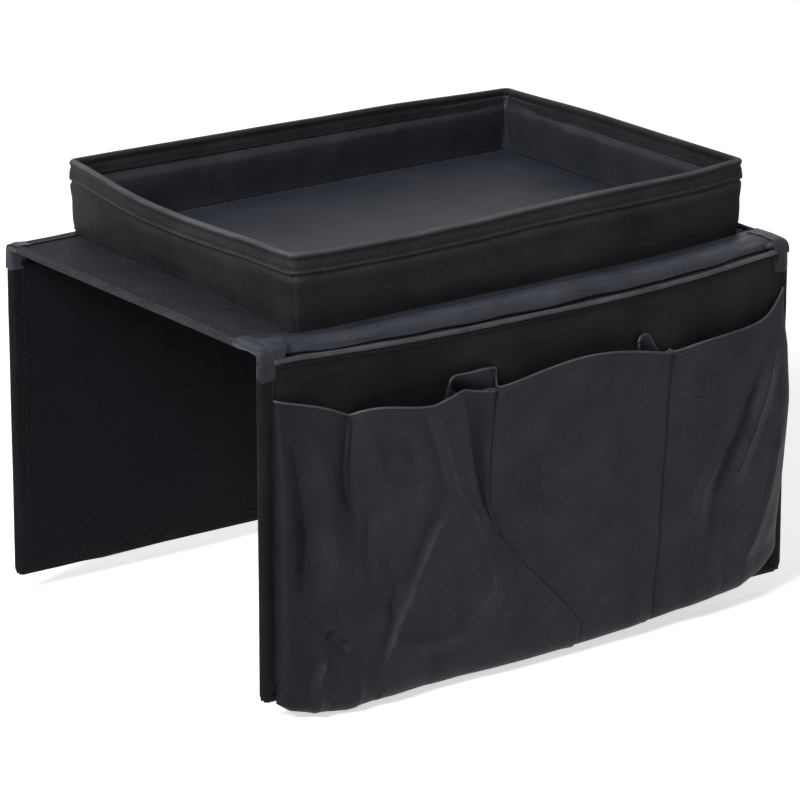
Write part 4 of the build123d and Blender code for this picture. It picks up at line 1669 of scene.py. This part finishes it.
# %% Stage, light and camera
floor_drop = 207.8 * mm
floor_glow = 0.62
world_light = 0.12
bm = bmesh.new()
bmesh.ops.create_grid(bm, x_segments=1, y_segments=1, size=6.0)
bmesh.ops.translate(bm, verts=bm.verts, vec=(0, 0, saddle_top - floor_drop))
studio_floor = add_mesh("studio_floor", bm)
studio_floor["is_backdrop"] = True


def looked_at(add):
    """1 for the rays that see a surface: from the camera, mirrored or through glass."""
    rays = add("ShaderNodeLightPath").outputs
    seen = rays["Is Camera Ray"]
    for kind in ("Is Glossy Ray", "Is Transmission Ray"):
        seen = add("ShaderNodeMath", [(0, seen), (1, rays[kind])], operation="MAXIMUM").outputs[0]
    return seen


floor_material, tree, shader, add = new_material("pale studio floor")
shader.inputs["Base Color"].default_value = (0.82, 0.82, 0.83, 1)
shader.inputs["Roughness"].default_value = 0.9
shader.inputs["Specular IOR Level"].default_value = 0.2
dark = add("ShaderNodeEmission", [("Strength", 0.0)])
white = add("ShaderNodeEmission", [("Color", (1, 1, 1, 1)), ("Strength", floor_glow)])
glow = add("ShaderNodeMixShader", [(0, looked_at(add)), (1, dark.outputs[0]), (2, white.outputs[0])])
both = add("ShaderNodeAddShader", [(0, shader.outputs[0]), (1, glow.outputs[0])])
tree.links.new(both.outputs[0], tree.nodes["Material Output"].inputs[0])
studio_floor.data.materials.append(floor_material)

world = bpy.data.worlds.new("studio")
bpy.context.scene.world = world
world.use_nodes = True
world.node_tree.nodes.clear()
add = node_adder(world.node_tree)
ambient = add("ShaderNodeBackground", [("Strength", world_light)])
white = add("ShaderNodeBackground", [("Color", (1, 1, 1, 1)), ("Strength", 1.0)])
mixed = add("ShaderNodeMixShader", [(0, looked_at(add)), (1, ambient.outputs[0]), (2, white.outputs[0])])
add("ShaderNodeOutputWorld", [(0, mixed.outputs[0])])


def soft_lamp(name, place, target, size, power):
    """A square soft lamp that points at a target."""
    data = bpy.data.lights.new(name, "AREA")
    data.size = size
    data.energy = power
    lamp = add_object(name, data)
    lamp.location = place
    lamp.rotation_mode = "QUATERNION"
    lamp.rotation_quaternion = (Vector(target) - Vector(place)).to_track_quat("-Z", "Y")


soft_lamp("key lamp", (-1.65, -0.68, 1.26), (0, 0, 0), 0.7, 64)
soft_lamp("top lamp", (0.3, 0.6, 1.8), (0, 0, 0), 1.3, 9)
soft_lamp("front lamp", (0.6, -2.3, 0.7), (0, 0, -0.05), 1.2, 4)

camera_place = Vector((-1547.1, -2132.9, 762.2)) * mm
camera_yaw = math.radians(54.02)
camera_pitch = math.radians(-17.91)
camera_data = bpy.data.cameras.new("camera")
camera_data.sensor_width = 36
camera_data.lens = 220.9
camera_data.clip_start = 0.05
camera_data.clip_end = 50
camera = add_object("camera", camera_data)
camera.location = camera_place
sight = Vector((
    math.cos(camera_pitch) * math.cos(camera_yaw),
    math.cos(camera_pitch) * math.sin(camera_yaw),
    math.sin(camera_pitch),
))
camera.rotation_mode = "QUATERNION"
camera.rotation_quaternion = sight.to_track_quat("-Z", "Y")
bpy.context.scene.camera = camera
bpy.context.scene.view_settings.view_transform = "Standard"

# %% [markdown]
# The last cell measures the box round the dressed product.

# %% The dressed size
low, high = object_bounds()
